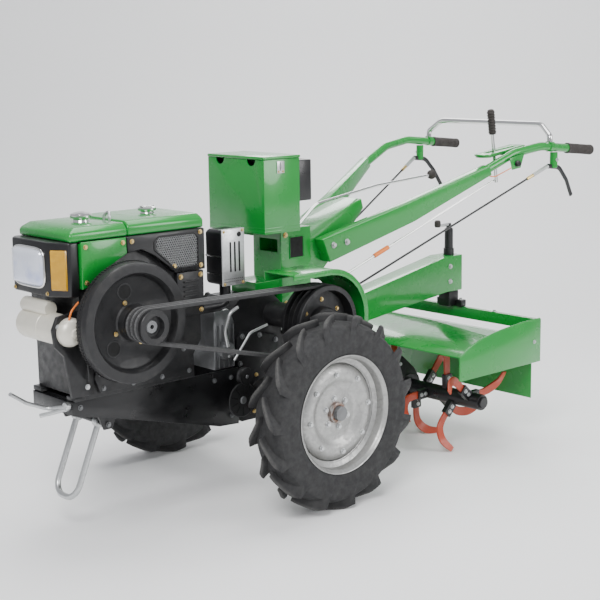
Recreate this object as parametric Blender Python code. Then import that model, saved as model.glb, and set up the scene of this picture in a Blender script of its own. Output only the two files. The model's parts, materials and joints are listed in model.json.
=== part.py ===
# Walking tractor with a rotary tiller, in metres: +X is forward, +Y is the flywheel side, +Z is up.
# Each function below makes the pieces of one group. Inside them, X is measured from the wheel axle,
# and an empty carries everything so that the part's origin lies on the ground under its middle.

import math

import bmesh
import bpy
from mathutils import Matrix, Vector

GAP = 0.0003              # between pieces that touch
PIN_GAP = 0.0010          # around shafts, pins and rods that turn

# Overall
REAR_REACH = 1.400        # axle to the ends of the grips
FRONT_REACH = 0.8656      # axle to the tip of the stand's hand lever
TRACK = 0.830             # between the middles of the tyres

# Wheels
TYRE_RADIUS = 0.295
TYRE_WIDTH = 0.120
RIM_RADIUS = 0.170
RIM_WALL = 0.005
AXLE_RADIUS = 0.0175
HOUSING_RADIUS = 0.045

# Frame and engine
FRAME_HALF_WIDTH = 0.105
FRAME_WALL = 0.008
FRAME_TOP = 0.396
FRAME_FRONT = 0.704
ENGINE_REAR = 0.280
ENGINE_FRONT = 0.698
ENGINE_RIGHT = -0.098
ENGINE_LEFT = 0.150
ENGINE_TOP = 0.852
PANEL_OUTER = 0.172       # outer face of the sheet panels on the flywheel side

# Belt drive
CRANK_X = 0.578
CRANK_Z = 0.624
FLYWHEEL_RADIUS = 0.171
FLYWHEEL_INNER_Y = 0.205
FLYWHEEL_WIDTH = 0.045
CRANK_PULLEY_RADIUS = 0.048
CLUTCH_X = -0.066
CLUTCH_Z = 0.538
CLUTCH_PULLEY_RADIUS = 0.120
PULLEY_INNER_Y = 0.2503
PULLEY_WIDTH = 0.082
FLANGE_WIDTH = 0.010      # each side of the belts
FLANGE_HEIGHT = 0.007
BELT_THICKNESS = 0.006

# Gearbox
GEARBOX_HALF_WIDTH = 0.075
GEARBOX_FRONT = 0.105
GEARBOX_REAR = -0.100
GEARBOX_BOTTOM = 0.210
GEARBOX_TOP = 0.600

# Toolbox
BOX_FRONT = 0.012
BOX_REAR = -0.135
BOX_HALF_WIDTH = 0.135
BOX_FLOOR = 0.800
BOX_TOP = 1.028
BOX_WALL = 0.003
LID_THICKNESS = 0.010

# Handles
ARM_TUBE_RADIUS = 0.015
GRIP_RADIUS = 0.019
GRIP_LENGTH = 0.145

# Tiller
ROTOR_X = -0.737
TINE_REACH = 0.180        # rotor axis to the tips of the tines
TINES_EACH_SIDE = 8
ROTOR_HALF_WIDTH = 0.378
SLEEVE_RADIUS = 0.0275
SHAFT_RADIUS = 0.020
CASE_HALF_WIDTH = 0.042
HOOD_FRONT = -0.597
HOOD_REAR = -1.013
HOOD_HALF_WIDTH = 0.400
HOOD_SHEET = 0.004
HOOD_SIDE_BOTTOM = 0.275
FLAP_HINGE_Z = 0.350
FLAP_BOTTOM = 0.147
BOOM_HALF_WIDTH = 0.040
COLUMN_X = -0.992
COLUMN_RADIUS = 0.020

# Front stand
STAND_PIVOT_X = 0.589
STAND_PIVOT_Z = 0.311
STAND_FOOT_X = 0.679
STAND_FOOT_Z = 0.095
STAND_HALF_WIDTH = 0.055
STAND_TUBE = 0.009

AXLE_X = (REAR_REACH - FRONT_REACH) / 2
AXLE_Z = TYRE_RADIUS

# name: red, green, blue, roughness, metallic
FINISHES = {
    "green_paint": (0.012, 0.33, 0.045, 0.35, 0.0),
    "tank_green": (0.012, 0.33, 0.045, 0.3, 0.0),
    "black_paint": (0.012, 0.012, 0.013, 0.4, 0.0),
    "engine_black": (0.020, 0.020, 0.021, 0.5, 0.3),
    "cast_black": (0.020, 0.020, 0.021, 0.55, 0.3),
    "cast_grey": (0.30, 0.31, 0.32, 0.5, 0.7),
    "galvanised": (0.62, 0.63, 0.62, 0.4, 0.8),
    "chrome": (0.75, 0.75, 0.74, 0.15, 1.0),
    "tyre_rubber": (0.025, 0.025, 0.026, 0.85, 0.0),
    "soft_rubber": (0.020, 0.018, 0.017, 0.8, 0.0),
    "lamp_black": (0.015, 0.015, 0.016, 0.3, 0.0),
    "lamp_glass": (0.75, 0.78, 0.9, 0.1, 0.0),
    "starter_paint": (0.72, 0.70, 0.63, 0.4, 0.3),
    "tine_paint": (0.62, 0.12, 0.03, 0.5, 0.2),
}


# ---- building blocks ----

def finish(name):
    material = bpy.data.materials.get(name)
    if material is None:
        red, green, blue, roughness, metallic = FINISHES[name]
        material = bpy.data.materials.new(name)
        material.use_nodes = True
        shader = material.node_tree.nodes["Principled BSDF"]
        shader.inputs["Base Color"].default_value = (red, green, blue, 1)
        shader.inputs["Roughness"].default_value = roughness
        shader.inputs["Metallic"].default_value = metallic
    return material


def solid_from(shape):
    """One closed mesh object, not yet named, from a bmesh."""
    bmesh.ops.remove_doubles(shape, verts=shape.verts, dist=0.00001)
    bmesh.ops.recalc_face_normals(shape, faces=shape.faces)
    mesh = bpy.data.meshes.new("shape")
    shape.to_mesh(mesh)
    shape.free()
    piece = bpy.data.objects.new("shape", mesh)
    bpy.context.scene.collection.objects.link(piece)
    return piece


def stack(levels):
    """A body from rectangles one above the other: (z, x0, x1, y0, y1) for each."""
    shape = bmesh.new()
    rings = []
    for z, x0, x1, y0, y1 in levels:
        corners = [(x0, y0), (x1, y0), (x1, y1), (x0, y1)]
        rings.append([shape.verts.new((x, y, z)) for x, y in corners])
    shape.faces.new(rings[0])
    shape.faces.new(rings[-1])
    for lower, upper in zip(rings, rings[1:]):
        for i in range(4):
            j = (i + 1) % 4
            shape.faces.new((lower[i], lower[j], upper[j], upper[i]))
    return solid_from(shape)


def block(x0, x1, y0, y1, z0, z1):
    return stack([(z0, x0, x1, y0, y1), (z1, x0, x1, y0, y1)])


def plate(outline, y0, y1):
    """An outline of (x, z) points, extruded from y0 to y1."""
    shape = bmesh.new()
    face = shape.faces.new([shape.verts.new((x, y0, z)) for x, z in outline])
    grown = bmesh.ops.extrude_face_region(shape, geom=[face])
    moved = [item for item in grown["geom"] if isinstance(item, bmesh.types.BMVert)]
    bmesh.ops.translate(shape, verts=moved, vec=(0, y1 - y0, 0))
    return solid_from(shape)


def turned(profile, centre, axis="Y", segments=24):
    """A closed profile of (along, radius) points, spun about the axis through centre."""
    shape = bmesh.new()
    loop = [shape.verts.new((0, along, radius)) for along, radius in profile]
    edges = [shape.edges.new((loop[i], loop[(i + 1) % len(loop)])) for i in range(len(loop))]
    bmesh.ops.spin(
        shape, geom=loop + edges, cent=(0, 0, 0), axis=(0, 1, 0), angle=2 * math.pi,
        steps=segments, use_merge=True,
    )
    flat = [edge for edge in shape.edges if not edge.link_faces]
    bmesh.ops.delete(shape, geom=flat, context="EDGES")
    turn = {
        "Y": Matrix.Identity(4),
        "X": Matrix.Rotation(-math.pi / 2, 4, "Z"),
        "Z": Matrix.Rotation(math.pi / 2, 4, "X"),
    }[axis]
    bmesh.ops.transform(shape, matrix=Matrix.Translation(centre) @ turn, verts=shape.verts)
    return solid_from(shape)


def rod(start, end, radius, segments=8):
    """A straight round bar between two points."""
    start = Vector(start)
    run = Vector(end) - start
    shape = bmesh.new()
    bmesh.ops.create_cone(
        shape, cap_ends=True, segments=segments, radius1=radius, radius2=radius, depth=run.length,
        matrix=Matrix.Translation(start + run / 2) @ run.to_track_quat("Z", "Y").to_matrix().to_4x4(),
    )
    return solid_from(shape)


def bent_tube(points, radius, bend=0.05, sides=8):
    """A round bar through the points, each corner an arc of radius bend."""
    points = [Vector(point) for point in points]
    path = [points[0]]
    for before, corner, after in zip(points, points[1:], points[2:]):
        back = (before - corner).normalized()
        ahead = (after - corner).normalized()
        half = back.angle(ahead) / 2
        reach = min(bend / math.tan(half), 0.45 * min((before - corner).length, (after - corner).length))
        arc_radius = reach * math.tan(half)
        middle = corner + (back + ahead).normalized() * arc_radius / math.sin(half)
        first = corner + back * reach - middle
        last = corner + ahead * reach - middle
        for step in range(5):
            path.append(middle + first.normalized().slerp(last.normalized(), step / 4) * first.length)
    path.append(points[-1])
    shape = bmesh.new()
    rings = []
    normal = Vector((0, 0, 1)) if abs((path[1] - path[0]).normalized().z) < 0.9 else Vector((1, 0, 0))
    for i, point in enumerate(path):
        ahead = path[min(i + 1, len(path) - 1)] - point
        behind = point - path[max(i - 1, 0)]
        along = (ahead.normalized() + behind.normalized()).normalized()
        normal = (normal - along * normal.dot(along)).normalized()
        side = along.cross(normal)
        ring = []
        for k in range(sides):
            angle = 2 * math.pi * k / sides
            offset = normal * math.cos(angle) + side * math.sin(angle)
            ring.append(shape.verts.new(point + offset * radius))
        rings.append(ring)
    shape.faces.new(rings[0])
    shape.faces.new(rings[-1])
    for near, far in zip(rings, rings[1:]):
        for k in range(sides):
            m = (k + 1) % sides
            shape.faces.new((near[k], near[m], far[m], far[k]))
    return solid_from(shape)


def loft(sections):
    """A bar through sections, each a list of corner points in the same order."""
    shape = bmesh.new()
    rings = [[shape.verts.new(corner) for corner in section] for section in sections]
    shape.faces.new(rings[0])
    shape.faces.new(rings[-1])
    sides = len(rings[0])
    for near, far in zip(rings, rings[1:]):
        for k in range(sides):
            m = (k + 1) % sides
            shape.faces.new((near[k], near[m], far[m], far[k]))
    return solid_from(shape)


def combine(base, others, operation):
    """Joins the others to base, or cuts them from it, and removes them."""
    for other in others:
        modifier = base.modifiers.new("combine", "BOOLEAN")
        modifier.operation = operation
        modifier.object = other
    bpy.context.view_layer.update()
    evaluated = base.evaluated_get(bpy.context.evaluated_depsgraph_get())
    mesh = bpy.data.meshes.new_from_object(evaluated)
    base.modifiers.clear()
    base.data = mesh
    for other in others:
        bpy.data.objects.remove(other, do_unlink=True)
    return base


def fuse(base, *others):
    return combine(base, others, "UNION")


def cut(base, *others):
    return combine(base, others, "DIFFERENCE")


def pivot(name, x, y, z):
    """An empty on a joint's axis."""
    empty = bpy.data.objects.new(name, None)
    bpy.context.scene.collection.objects.link(empty)
    empty.parent = ground_centre
    empty.location = (x, y, z)
    return empty


def name_piece(name, piece, colour, joint=None):
    """Names a piece, gives it its finish, and hangs it on its joint or on the machine."""
    piece.name = name
    piece.data.name = name
    piece.data.materials.clear()
    piece.data.materials.append(finish(colour))
    if joint is not None:
        piece.data.transform(Matrix.Translation(-joint.location))
    piece.data.shade_smooth()
    piece.data.set_sharp_from_angle(angle=math.radians(30))
    piece.parent = joint or ground_centre
    return piece


def circle(x, z, radius, first, last, steps):
    """Points of (x, z) on an arc, angles in degrees from +X towards +Z."""
    points = []
    for i in range(steps + 1):
        angle = math.radians(first + (last - first) * i / steps)
        points.append((x + radius * math.cos(angle), z + radius * math.sin(angle)))
    return points


# ---- wheels ----

def make_wheel(side_name, side):
    hub_y = side * TRACK / 2
    joint = pivot(side_name + "_wheel_axis", 0, hub_y, AXLE_Z)
    half = TYRE_WIDTH / 2
    centre = (0, hub_y, AXLE_Z)
    bead = RIM_RADIUS + 0.001
    tyre_profile = [
        (-half + 0.012, bead), (-half, bead + 0.030), (-half, TYRE_RADIUS - 0.035),
        (-half + 0.022, TYRE_RADIUS), (half - 0.022, TYRE_RADIUS),
        (half, TYRE_RADIUS - 0.035), (half, bead + 0.030), (half - 0.012, bead),
    ]
    name_piece(side_name + "_tyre", turned(tyre_profile, centre, segments=32), "tyre_rubber", joint)

    # The rim's disc sits outboard of the middle, and its hub has an open bore for the axle's end.
    barrel = RIM_RADIUS
    well = barrel - RIM_WALL
    rim_profile = [
        (-half + 0.001, barrel), (half - 0.001, barrel), (half - 0.001, well),
        (0.014, well), (0.030, 0.105), (0.016, 0.068), (0.016, 0.024),
        (0.010, 0.024), (0.010, 0.070), (0.024, 0.108), (0.004, well), (-half + 0.001, well),
    ]
    outward = [(side * along, radius) for along, radius in rim_profile]
    name_piece(side_name + "_rim", turned(outward, centre, segments=24), "galvanised", joint)

    # The axle is a shaft with a bolting flange against the disc, and its end shows in the bore.
    start = GEARBOX_HALF_WIDTH - TRACK / 2 - 0.030
    axle_profile = [
        (start, 0.001), (start, AXLE_RADIUS), (-0.030, AXLE_RADIUS), (-0.030, 0.030),
        (0.000, 0.030), (0.000, 0.058), (0.010 - GAP, 0.058), (0.010 - GAP, 0.022),
        (0.040, 0.022), (0.040, 0.001),
    ]
    shaft = [(side * along, radius) for along, radius in axle_profile]
    name_piece(side_name + "_axle", solid_turned(shaft, centre), "cast_grey", joint)

    # The housing carries the axle from the gearbox nearly to the wheel.
    bore = AXLE_RADIUS + PIN_GAP
    inner = GEARBOX_HALF_WIDTH + GAP
    outer = TRACK / 2 - 0.075
    housing = [
        (side * inner, bore), (side * inner, 0.075), (side * (inner + 0.012), 0.075),
        (side * (inner + 0.014), HOUSING_RADIUS), (side * (outer - 0.014), HOUSING_RADIUS - 0.006),
        (side * (outer - 0.012), 0.052), (side * outer, 0.052), (side * outer, bore),
    ]
    name_piece(side_name + "_axle_housing", turned(housing, (0, 0, AXLE_Z)), "cast_black")


def solid_turned(profile, centre, axis="Y", segments=20):
    """A turned body with no bore: the profile's first and last points lie on the axis."""
    closed = [(profile[0][0], 0.0)] + list(profile[1:-1]) + [(profile[-1][0], 0.0)]
    shape = bmesh.new()
    line = [shape.verts.new((0, along, radius)) for along, radius in closed]
    edges = [shape.edges.new(pair) for pair in zip(line, line[1:])]
    bmesh.ops.spin(
        shape, geom=line + edges, cent=(0, 0, 0), axis=(0, 1, 0), angle=2 * math.pi,
        steps=segments, use_merge=True,
    )
    turn = {
        "Y": Matrix.Identity(4),
        "X": Matrix.Rotation(-math.pi / 2, 4, "Z"),
        "Z": Matrix.Rotation(math.pi / 2, 4, "X"),
    }[axis]
    bmesh.ops.transform(shape, matrix=Matrix.Translation(centre) @ turn, verts=shape.verts)
    return solid_from(shape)


# ---- frame and stand ----

def make_frame():
    outline = [
        (GEARBOX_FRONT + 0.002, 0.218), (0.183, 0.223), (0.543, 0.319), (FRAME_FRONT, 0.357),
        (FRAME_FRONT, FRAME_TOP), (GEARBOX_FRONT + 0.002, FRAME_TOP),
    ]
    inner = FRAME_HALF_WIDTH - FRAME_WALL
    left = plate(outline, inner, FRAME_HALF_WIDTH)
    right = plate(outline, -FRAME_HALF_WIDTH, -inner)
    rear = GEARBOX_FRONT + GAP
    # x0, x1, z0, z1 of the members that run across
    members = [
        (FRAME_FRONT - 0.008, FRAME_FRONT + 0.001, 0.358, FRAME_TOP - 0.001),
        (rear, rear + 0.012, 0.225, FRAME_TOP - 0.001),
        (0.620, 0.680, FRAME_TOP - 0.012, FRAME_TOP - 0.001),
        (0.300, 0.370, FRAME_TOP - 0.012, FRAME_TOP - 0.001),
    ]
    reach = FRAME_HALF_WIDTH - 0.002
    crossings = [block(x0, x1, -reach, reach, z0, z1) for x0, x1, z0, z1 in members]
    ear = [
        (STAND_PIVOT_X - 0.035, STAND_PIVOT_Z + 0.035), (STAND_PIVOT_X - 0.014, STAND_PIVOT_Z - 0.014),
        (STAND_PIVOT_X + 0.014, STAND_PIVOT_Z - 0.014), (STAND_PIVOT_X + 0.035, STAND_PIVOT_Z + 0.035),
    ]
    ears = [plate(ear, side * (inner + 0.001), side * (FRAME_HALF_WIDTH - 0.001)) for side in (-1, 1)]
    pin = rod((STAND_PIVOT_X, -reach, STAND_PIVOT_Z), (STAND_PIVOT_X, reach, STAND_PIVOT_Z), 0.008, 16)
    name_piece("chassis_frame", fuse(left, right, pin, *crossings, *ears), "black_paint")

    # The bed's two rails stand on the frame and carry the engine.
    for side_name, side in (("left", 1), ("right", -1)):
        y0, y1 = sorted((side * (inner - 0.030), side * (FRAME_HALF_WIDTH + 0.004)))
        rail = block(0.300, FRAME_FRONT - 0.004, y0, y1, FRAME_TOP + GAP, FRAME_TOP + 0.014)
        name_piece(side_name + "_engine_rail", rail, "black_paint")

    lever_path = [
        (0.7155, 0.088, 0.384), (0.742, 0.040, 0.374), (0.800, 0.020, 0.398), (0.864, 0.045, 0.440),
    ]
    eye = rod((0.7053, 0.088, 0.384), (0.722, 0.088, 0.384), 0.013, 16)
    stub = rod((0.7155, 0.088, 0.378), (0.765, 0.030, 0.357), 0.006)
    lever = fuse(bent_tube(lever_path, 0.006, 0.03, 8), eye, stub)
    name_piece("stand_lever", lever, "galvanised")


def make_stand():
    z = STAND_PIVOT_Z
    joint = pivot("front_stand_axis", STAND_PIVOT_X, 0, z)
    top = Vector((STAND_PIVOT_X, 0, z))
    foot = Vector((STAND_FOOT_X, 0, STAND_FOOT_Z))
    side = Vector((0, STAND_HALF_WIDTH, 0))
    start = top + (foot - top).normalized() * 0.014
    loop = bent_tube([start + side, foot + side, foot - side, start - side], STAND_TUBE, 0.045, 8)
    for sign in (1, -1):
        profile = [(-0.011, 0.008 + 0.0006), (-0.011, 0.017), (0.011, 0.017), (0.011, 0.008 + 0.0006)]
        sleeve = turned(profile, (STAND_PIVOT_X, sign * STAND_HALF_WIDTH, z), segments=16)
        loop = fuse(loop, sleeve)
    name_piece("front_stand", loop, "galvanised", joint)


# ---- engine ----

def make_engine():
    base = FRAME_TOP + 0.014 + GAP
    outline = [
        (ENGINE_REAR + 0.030, base), (ENGINE_FRONT - 0.010, base), (ENGINE_FRONT - 0.010, 0.540),
        (ENGINE_FRONT, 0.560), (ENGINE_FRONT, ENGINE_TOP), (ENGINE_REAR, ENGINE_TOP),
        (ENGINE_REAR, 0.520), (ENGINE_REAR + 0.030, 0.480),
    ]
    body = plate(outline, ENGINE_RIGHT, ENGINE_LEFT)
    seat = FLYWHEEL_INNER_Y
    boss = rod((CRANK_X, ENGINE_LEFT - 0.010, CRANK_Z), (CRANK_X, seat - 0.012, CRANK_Z), 0.055, 20)
    bore = rod((CRANK_X, ENGINE_LEFT - 0.040, CRANK_Z), (CRANK_X, seat, CRANK_Z), 0.020 + PIN_GAP, 16)
    name_piece("engine_block", cut(fuse(body, boss), bore), "engine_black")

    seam = 0.537
    top = ENGINE_TOP + GAP
    y0 = ENGINE_RIGHT - 0.002
    y1 = ENGINE_LEFT + 0.011
    # z, x0, x1, y0, y1
    fuel_levels = [
        (top, seam, 0.726, y0, y1), (top + 0.022, seam, 0.726, y0, y1),
        (top + 0.038, seam, 0.700, y0 + 0.016, y1 - 0.016),
    ]
    water_levels = [
        (top, 0.270, seam - 0.001, y0, y1), (top + 0.026, 0.270, seam - 0.001, y0, y1),
        (top + 0.042, 0.280, seam - 0.001, y0 + 0.016, y1 - 0.016),
    ]
    name_piece("fuel_tank", stack(fuel_levels), "tank_green")
    name_piece("radiator_cover", stack(water_levels), "tank_green")
    # name, x, y, base height, cap radius, finish
    caps = [
        ("fuel_cap", 0.612, 0.045, top + 0.038, 0.031, 0.030, "chrome"),
        ("radiator_cap", 0.382, 0.040, top + 0.042, 0.027, 0.022, "chrome"),
    ]
    for name, x, y, z, radius, height, colour in caps:
        profile = [
            (z + GAP, 0), (z + GAP, radius * 0.72), (z + height * 0.3, radius * 0.72),
            (z + height * 0.4, radius), (z + height * 0.75, radius), (z + height, radius * 0.5),
            (z + height, 0),
        ]
        name_piece(name, solid_turned(profile, (x, y, 0), "Z", 16), colour)

    # Sheet panels on the flywheel side, each an outline of (x, z)
    sheet_y = ENGINE_LEFT + GAP
    side_panel = [
        (0.697, 0.8515), (0.550, 0.8515), (0.548, 0.806), (0.640, 0.762), (0.668, 0.732), (0.697, 0.722),
    ]
    name_piece("side_panel", plate(side_panel, sheet_y, PANEL_OUTER), "tank_green")
    grille = [
        (0.276, 0.8515), (0.548, 0.8515), (0.5465, 0.806), (0.500, 0.812), (0.455, 0.790),
        (0.395, 0.745), (0.380, 0.732), (0.276, 0.732),
    ]
    name_piece("grille_panel", plate(grille, sheet_y, PANEL_OUTER), "lamp_black")


def make_lamp():
    x0 = ENGINE_FRONT + GAP
    top = ENGINE_TOP
    bottom = 0.702
    shape = [
        (x0, ENGINE_RIGHT - 0.002), (0.744, ENGINE_RIGHT - 0.002), (0.762, -0.078),
        (0.762, 0.105), (0.728, 0.161), (x0, 0.161),
    ]
    housing = loft([[(x, y, z) for x, y in shape] for z in (bottom, top)])
    name_piece("headlight_housing", housing, "lamp_black")
    # z, x0, x1, y0, y1
    lens = loft([
        [(0.762 + GAP, -0.070, 0.724), (0.762 + GAP, 0.085, 0.718), (0.762 + GAP, 0.092, 0.830),
         (0.762 + GAP, -0.072, 0.836)],
        [(0.780, -0.050, 0.738), (0.780, 0.068, 0.733), (0.780, 0.074, 0.818), (0.780, -0.052, 0.822)],
    ])
    name_piece("headlight_lens", lens, "lamp_glass")


def make_starter():
    x = ENGINE_FRONT + 0.043 + GAP
    z = 0.612
    plate_y0 = ENGINE_LEFT + GAP
    plate_y1 = ENGINE_LEFT + 0.012
    outline = [
        (0.668, 0.648), (0.712, 0.666), (0.776, 0.656), (0.792, 0.622), (0.786, 0.575),
        (0.758, 0.545), (0.738, 0.425), (0.668, 0.425),
    ]
    hole = rod((x, plate_y0 - 0.01, z), (x, plate_y1 + 0.01, z), 0.034, 20)
    name_piece("starter_bracket", cut(plate(outline, plate_y0, plate_y1), hole), "cast_grey")
    back = -0.050
    body = [
        (back, 0), (back, 0.037), (back + 0.006, 0.043), (plate_y0 - GAP, 0.043),
        (plate_y0 - GAP, 0.033), (plate_y1 + GAP, 0.033), (plate_y1 + GAP, 0.040),
        (0.178, 0.038), (0.192, 0.026), (0.199, 0.010), (0.199, 0),
    ]
    motor = solid_turned(body, (x, 0, z))
    switch = rod((x + 0.006, -0.045, z + 0.054), (x + 0.006, 0.085, z + 0.054), 0.022, 20)
    name_piece("starter_motor", fuse(motor, switch), "starter_paint")


def make_exhaust():
    # z, x0, x1, y0, y1
    body = [
        (0.668, 0.122, 0.192, 0.082, 0.146), (0.674, 0.116, 0.198, 0.076, 0.152),
        (0.826, 0.116, 0.198, 0.076, 0.152), (0.834, 0.124, 0.190, 0.084, 0.144),
    ]
    name_piece("muffler", stack(body), "black_paint")
    shield = block(0.113, 0.200, 0.152 + GAP, 0.157, 0.666, 0.836)
    name_piece("muffler_shield", shield, "galvanised")
    pipe = [(ENGINE_REAR - GAP, 0.114, 0.602), (0.157, 0.114, 0.602), (0.157, 0.114, 0.668 - GAP)]
    name_piece("exhaust_pipe", bent_tube(pipe, 0.018, 0.05, 10), "black_paint")

    cleaner = [
        (0.668, 0), (0.668, 0.046), (0.690, 0.052), (0.790, 0.052), (0.796, 0.046), (0.812, 0.058),
        (0.836, 0.052), (0.836, 0),
    ]
    name_piece("air_cleaner", solid_turned(cleaner, (0.196, -0.060, 0), "Z", 20), "lamp_black")
    inlet = [(ENGINE_REAR - GAP, -0.060, 0.600), (0.196, -0.060, 0.600), (0.196, -0.060, 0.668 - GAP)]
    name_piece("air_inlet_pipe", bent_tube(inlet, 0.018, 0.04, 10), "black_paint")


# ---- belt drive ----

def make_belt_drive():
    crank = pivot("flywheel_axis", CRANK_X, 0, CRANK_Z)
    y0 = FLYWHEEL_INNER_Y
    y1 = y0 + FLYWHEEL_WIDTH
    profile = [
        (ENGINE_LEFT - 0.020, 0), (ENGINE_LEFT - 0.020, 0.020), (y0 - 0.006, 0.020),
        (y0 - 0.006, 0.045), (y0 + 0.008, 0.045), (y0 + 0.008, 0.120), (y0, 0.130),
        (y0, FLYWHEEL_RADIUS), (y1 - 0.006, FLYWHEEL_RADIUS), (y1, FLYWHEEL_RADIUS - 0.006),
        (y1, 0.138), (y0 + 0.022, 0.128), (y0 + 0.022, 0.050), (y1, 0.046), (y1, 0),
    ]
    wheel = solid_turned(profile, (CRANK_X, 0, CRANK_Z), segments=36)
    for angle in (75, 195, 315):
        x = CRANK_X + 0.092 * math.cos(math.radians(angle))
        z = CRANK_Z + 0.092 * math.sin(math.radians(angle))
        wheel = cut(wheel, rod((x, y0 - 0.02, z), (x, y1 + 0.02, z), 0.023, 12))
    name_piece("flywheel", wheel, "cast_black", crank)
    pulley = turned(pulley_profile(CRANK_PULLEY_RADIUS, 0.024), (CRANK_X, 0, CRANK_Z))
    name_piece("crank_pulley", pulley, "cast_black", crank)

    clutch = pivot("clutch_pulley_axis", CLUTCH_X, 0, CLUTCH_Z)
    radius = CLUTCH_PULLEY_RADIUS
    inner = PULLEY_INNER_Y
    outer = inner + PULLEY_WIDTH
    groove = radius - FLANGE_HEIGHT
    profile = [
        (GEARBOX_HALF_WIDTH + 0.050, 0), (GEARBOX_HALF_WIDTH + 0.050, 0.012), (inner - 0.020, 0.012),
        (inner - 0.020, 0.034), (inner + 0.030, 0.038), (inner + 0.030, groove - 0.012),
        (inner, groove - 0.008), (inner, radius), (inner + FLANGE_WIDTH, radius),
        (inner + FLANGE_WIDTH, groove), (outer - FLANGE_WIDTH, groove), (outer - FLANGE_WIDTH, radius),
        (outer, radius), (outer, groove - 0.008), (outer - 0.034, groove - 0.012),
        (outer - 0.034, 0.040), (outer - 0.010, 0.034), (outer - 0.010, 0),
    ]
    pulley = solid_turned(profile, (CLUTCH_X, 0, CLUTCH_Z), segments=24)
    name_piece("clutch_pulley", pulley, "cast_black", clutch)

    name_piece("drive_belts", make_belts(), "soft_rubber")


def pulley_profile(radius, bore):
    inner = PULLEY_INNER_Y
    outer = inner + PULLEY_WIDTH
    groove = radius - FLANGE_HEIGHT
    return [
        (inner, bore), (inner, radius), (inner + FLANGE_WIDTH, radius), (inner + FLANGE_WIDTH, groove),
        (outer - FLANGE_WIDTH, groove), (outer - FLANGE_WIDTH, radius), (outer, radius), (outer, bore),
    ]


def belt_outline(crank_radius, clutch_radius):
    """The closed run round both pulleys, as (x, z) points."""
    span = Vector((CLUTCH_X - CRANK_X, CLUTCH_Z - CRANK_Z))
    along = math.degrees(math.atan2(span.y, span.x))
    lean = math.degrees(math.acos((crank_radius - clutch_radius) / span.length))
    front = circle(CRANK_X, CRANK_Z, crank_radius, along + lean, along + 360 - lean, 12)
    rear = circle(CLUTCH_X, CLUTCH_Z, clutch_radius, along - lean, along + lean, 14)
    return front + rear


def make_belts():
    seat = FLANGE_HEIGHT - 0.0010
    inner_run = belt_outline(CRANK_PULLEY_RADIUS - seat, CLUTCH_PULLEY_RADIUS - seat)
    outer_run = belt_outline(
        CRANK_PULLEY_RADIUS - seat + BELT_THICKNESS, CLUTCH_PULLEY_RADIUS - seat + BELT_THICKNESS,
    )
    y0 = PULLEY_INNER_Y + FLANGE_WIDTH + 0.001
    y1 = PULLEY_INNER_Y + PULLEY_WIDTH - FLANGE_WIDTH - 0.001
    shape = bmesh.new()
    rings = []
    for run, y in ((inner_run, y0), (outer_run, y0), (outer_run, y1), (inner_run, y1)):
        rings.append([shape.verts.new((x, y, z)) for x, z in run])
    count = len(inner_run)
    for r in range(4):
        near = rings[r]
        far = rings[(r + 1) % 4]
        for i in range(count):
            j = (i + 1) % count
            shape.faces.new((near[i], near[j], far[j], far[i]))
    return solid_from(shape)


def make_belt_cover():
    """A bent sheet over the rear pulley, with a lip down its outer edge and a stay to the column."""
    outer_radius = CLUTCH_PULLEY_RADIUS + 0.036
    sheet = 0.004
    drop = 0.030
    front_x = 0.085
    lift = 0.012

    def band(radius):
        arc = circle(CLUTCH_X, CLUTCH_Z + lift, radius, 90, 205, 9)
        return [(front_x, CLUTCH_Z + lift + radius)] + arc

    inner_y = 0.212
    outer_y = PULLEY_INNER_Y + PULLEY_WIDTH + 0.014
    outside = band(outer_radius)
    inside = band(outer_radius - sheet)
    low = band(outer_radius - drop)
    sheet_part = plate(outside + inside[::-1], inner_y, outer_y)
    lip = plate(outside + band(outer_radius - 0.016)[::-1], outer_y - sheet, outer_y)
    wall = plate(outside + low[::-1], inner_y, inner_y + sheet)
    stay = block(-0.155, -0.125, 0.0683, inner_y + sheet - 0.001, 0.655, 0.665)
    name_piece("belt_cover", fuse(sheet_part, lip, wall, stay), "green_paint")


# ---- gearbox, toolbox and handles ----

def make_gearbox():
    half = GEARBOX_HALF_WIDTH
    outline = [
        (GEARBOX_REAR, 0.255), (-0.070, GEARBOX_BOTTOM), (0.070, GEARBOX_BOTTOM), (GEARBOX_FRONT, 0.245),
        (GEARBOX_FRONT, 0.570), (0.070, GEARBOX_TOP), (-0.070, GEARBOX_TOP), (GEARBOX_REAR, 0.570),
    ]
    case = plate(outline, -half, half)
    boss = rod((CLUTCH_X, half - 0.01, CLUTCH_Z), (CLUTCH_X, PULLEY_INNER_Y - 0.032, CLUTCH_Z), 0.040, 20)
    bores = [
        rod((0, -half - 0.01, AXLE_Z), (0, -half + 0.035, AXLE_Z), AXLE_RADIUS + PIN_GAP, 16),
        rod((0, half - 0.035, AXLE_Z), (0, half + 0.01, AXLE_Z), AXLE_RADIUS + PIN_GAP, 16),
        rod((CLUTCH_X, half + 0.040, CLUTCH_Z), (CLUTCH_X, PULLEY_INNER_Y, CLUTCH_Z), 0.012 + PIN_GAP, 16),
    ]
    name_piece("gearbox", cut(fuse(case, boss), *bores), "cast_black")
    # z, x0, x1, y0, y1
    side_case = [
        (FRAME_TOP + GAP, GEARBOX_FRONT + GAP, 0.185, -0.060, 0.090),
        (0.540, GEARBOX_FRONT + GAP, 0.185, -0.060, 0.090),
        (0.575, GEARBOX_FRONT + GAP, 0.165, -0.040, 0.070),
    ]
    name_piece("clutch_case", stack(side_case), "cast_grey")


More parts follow.
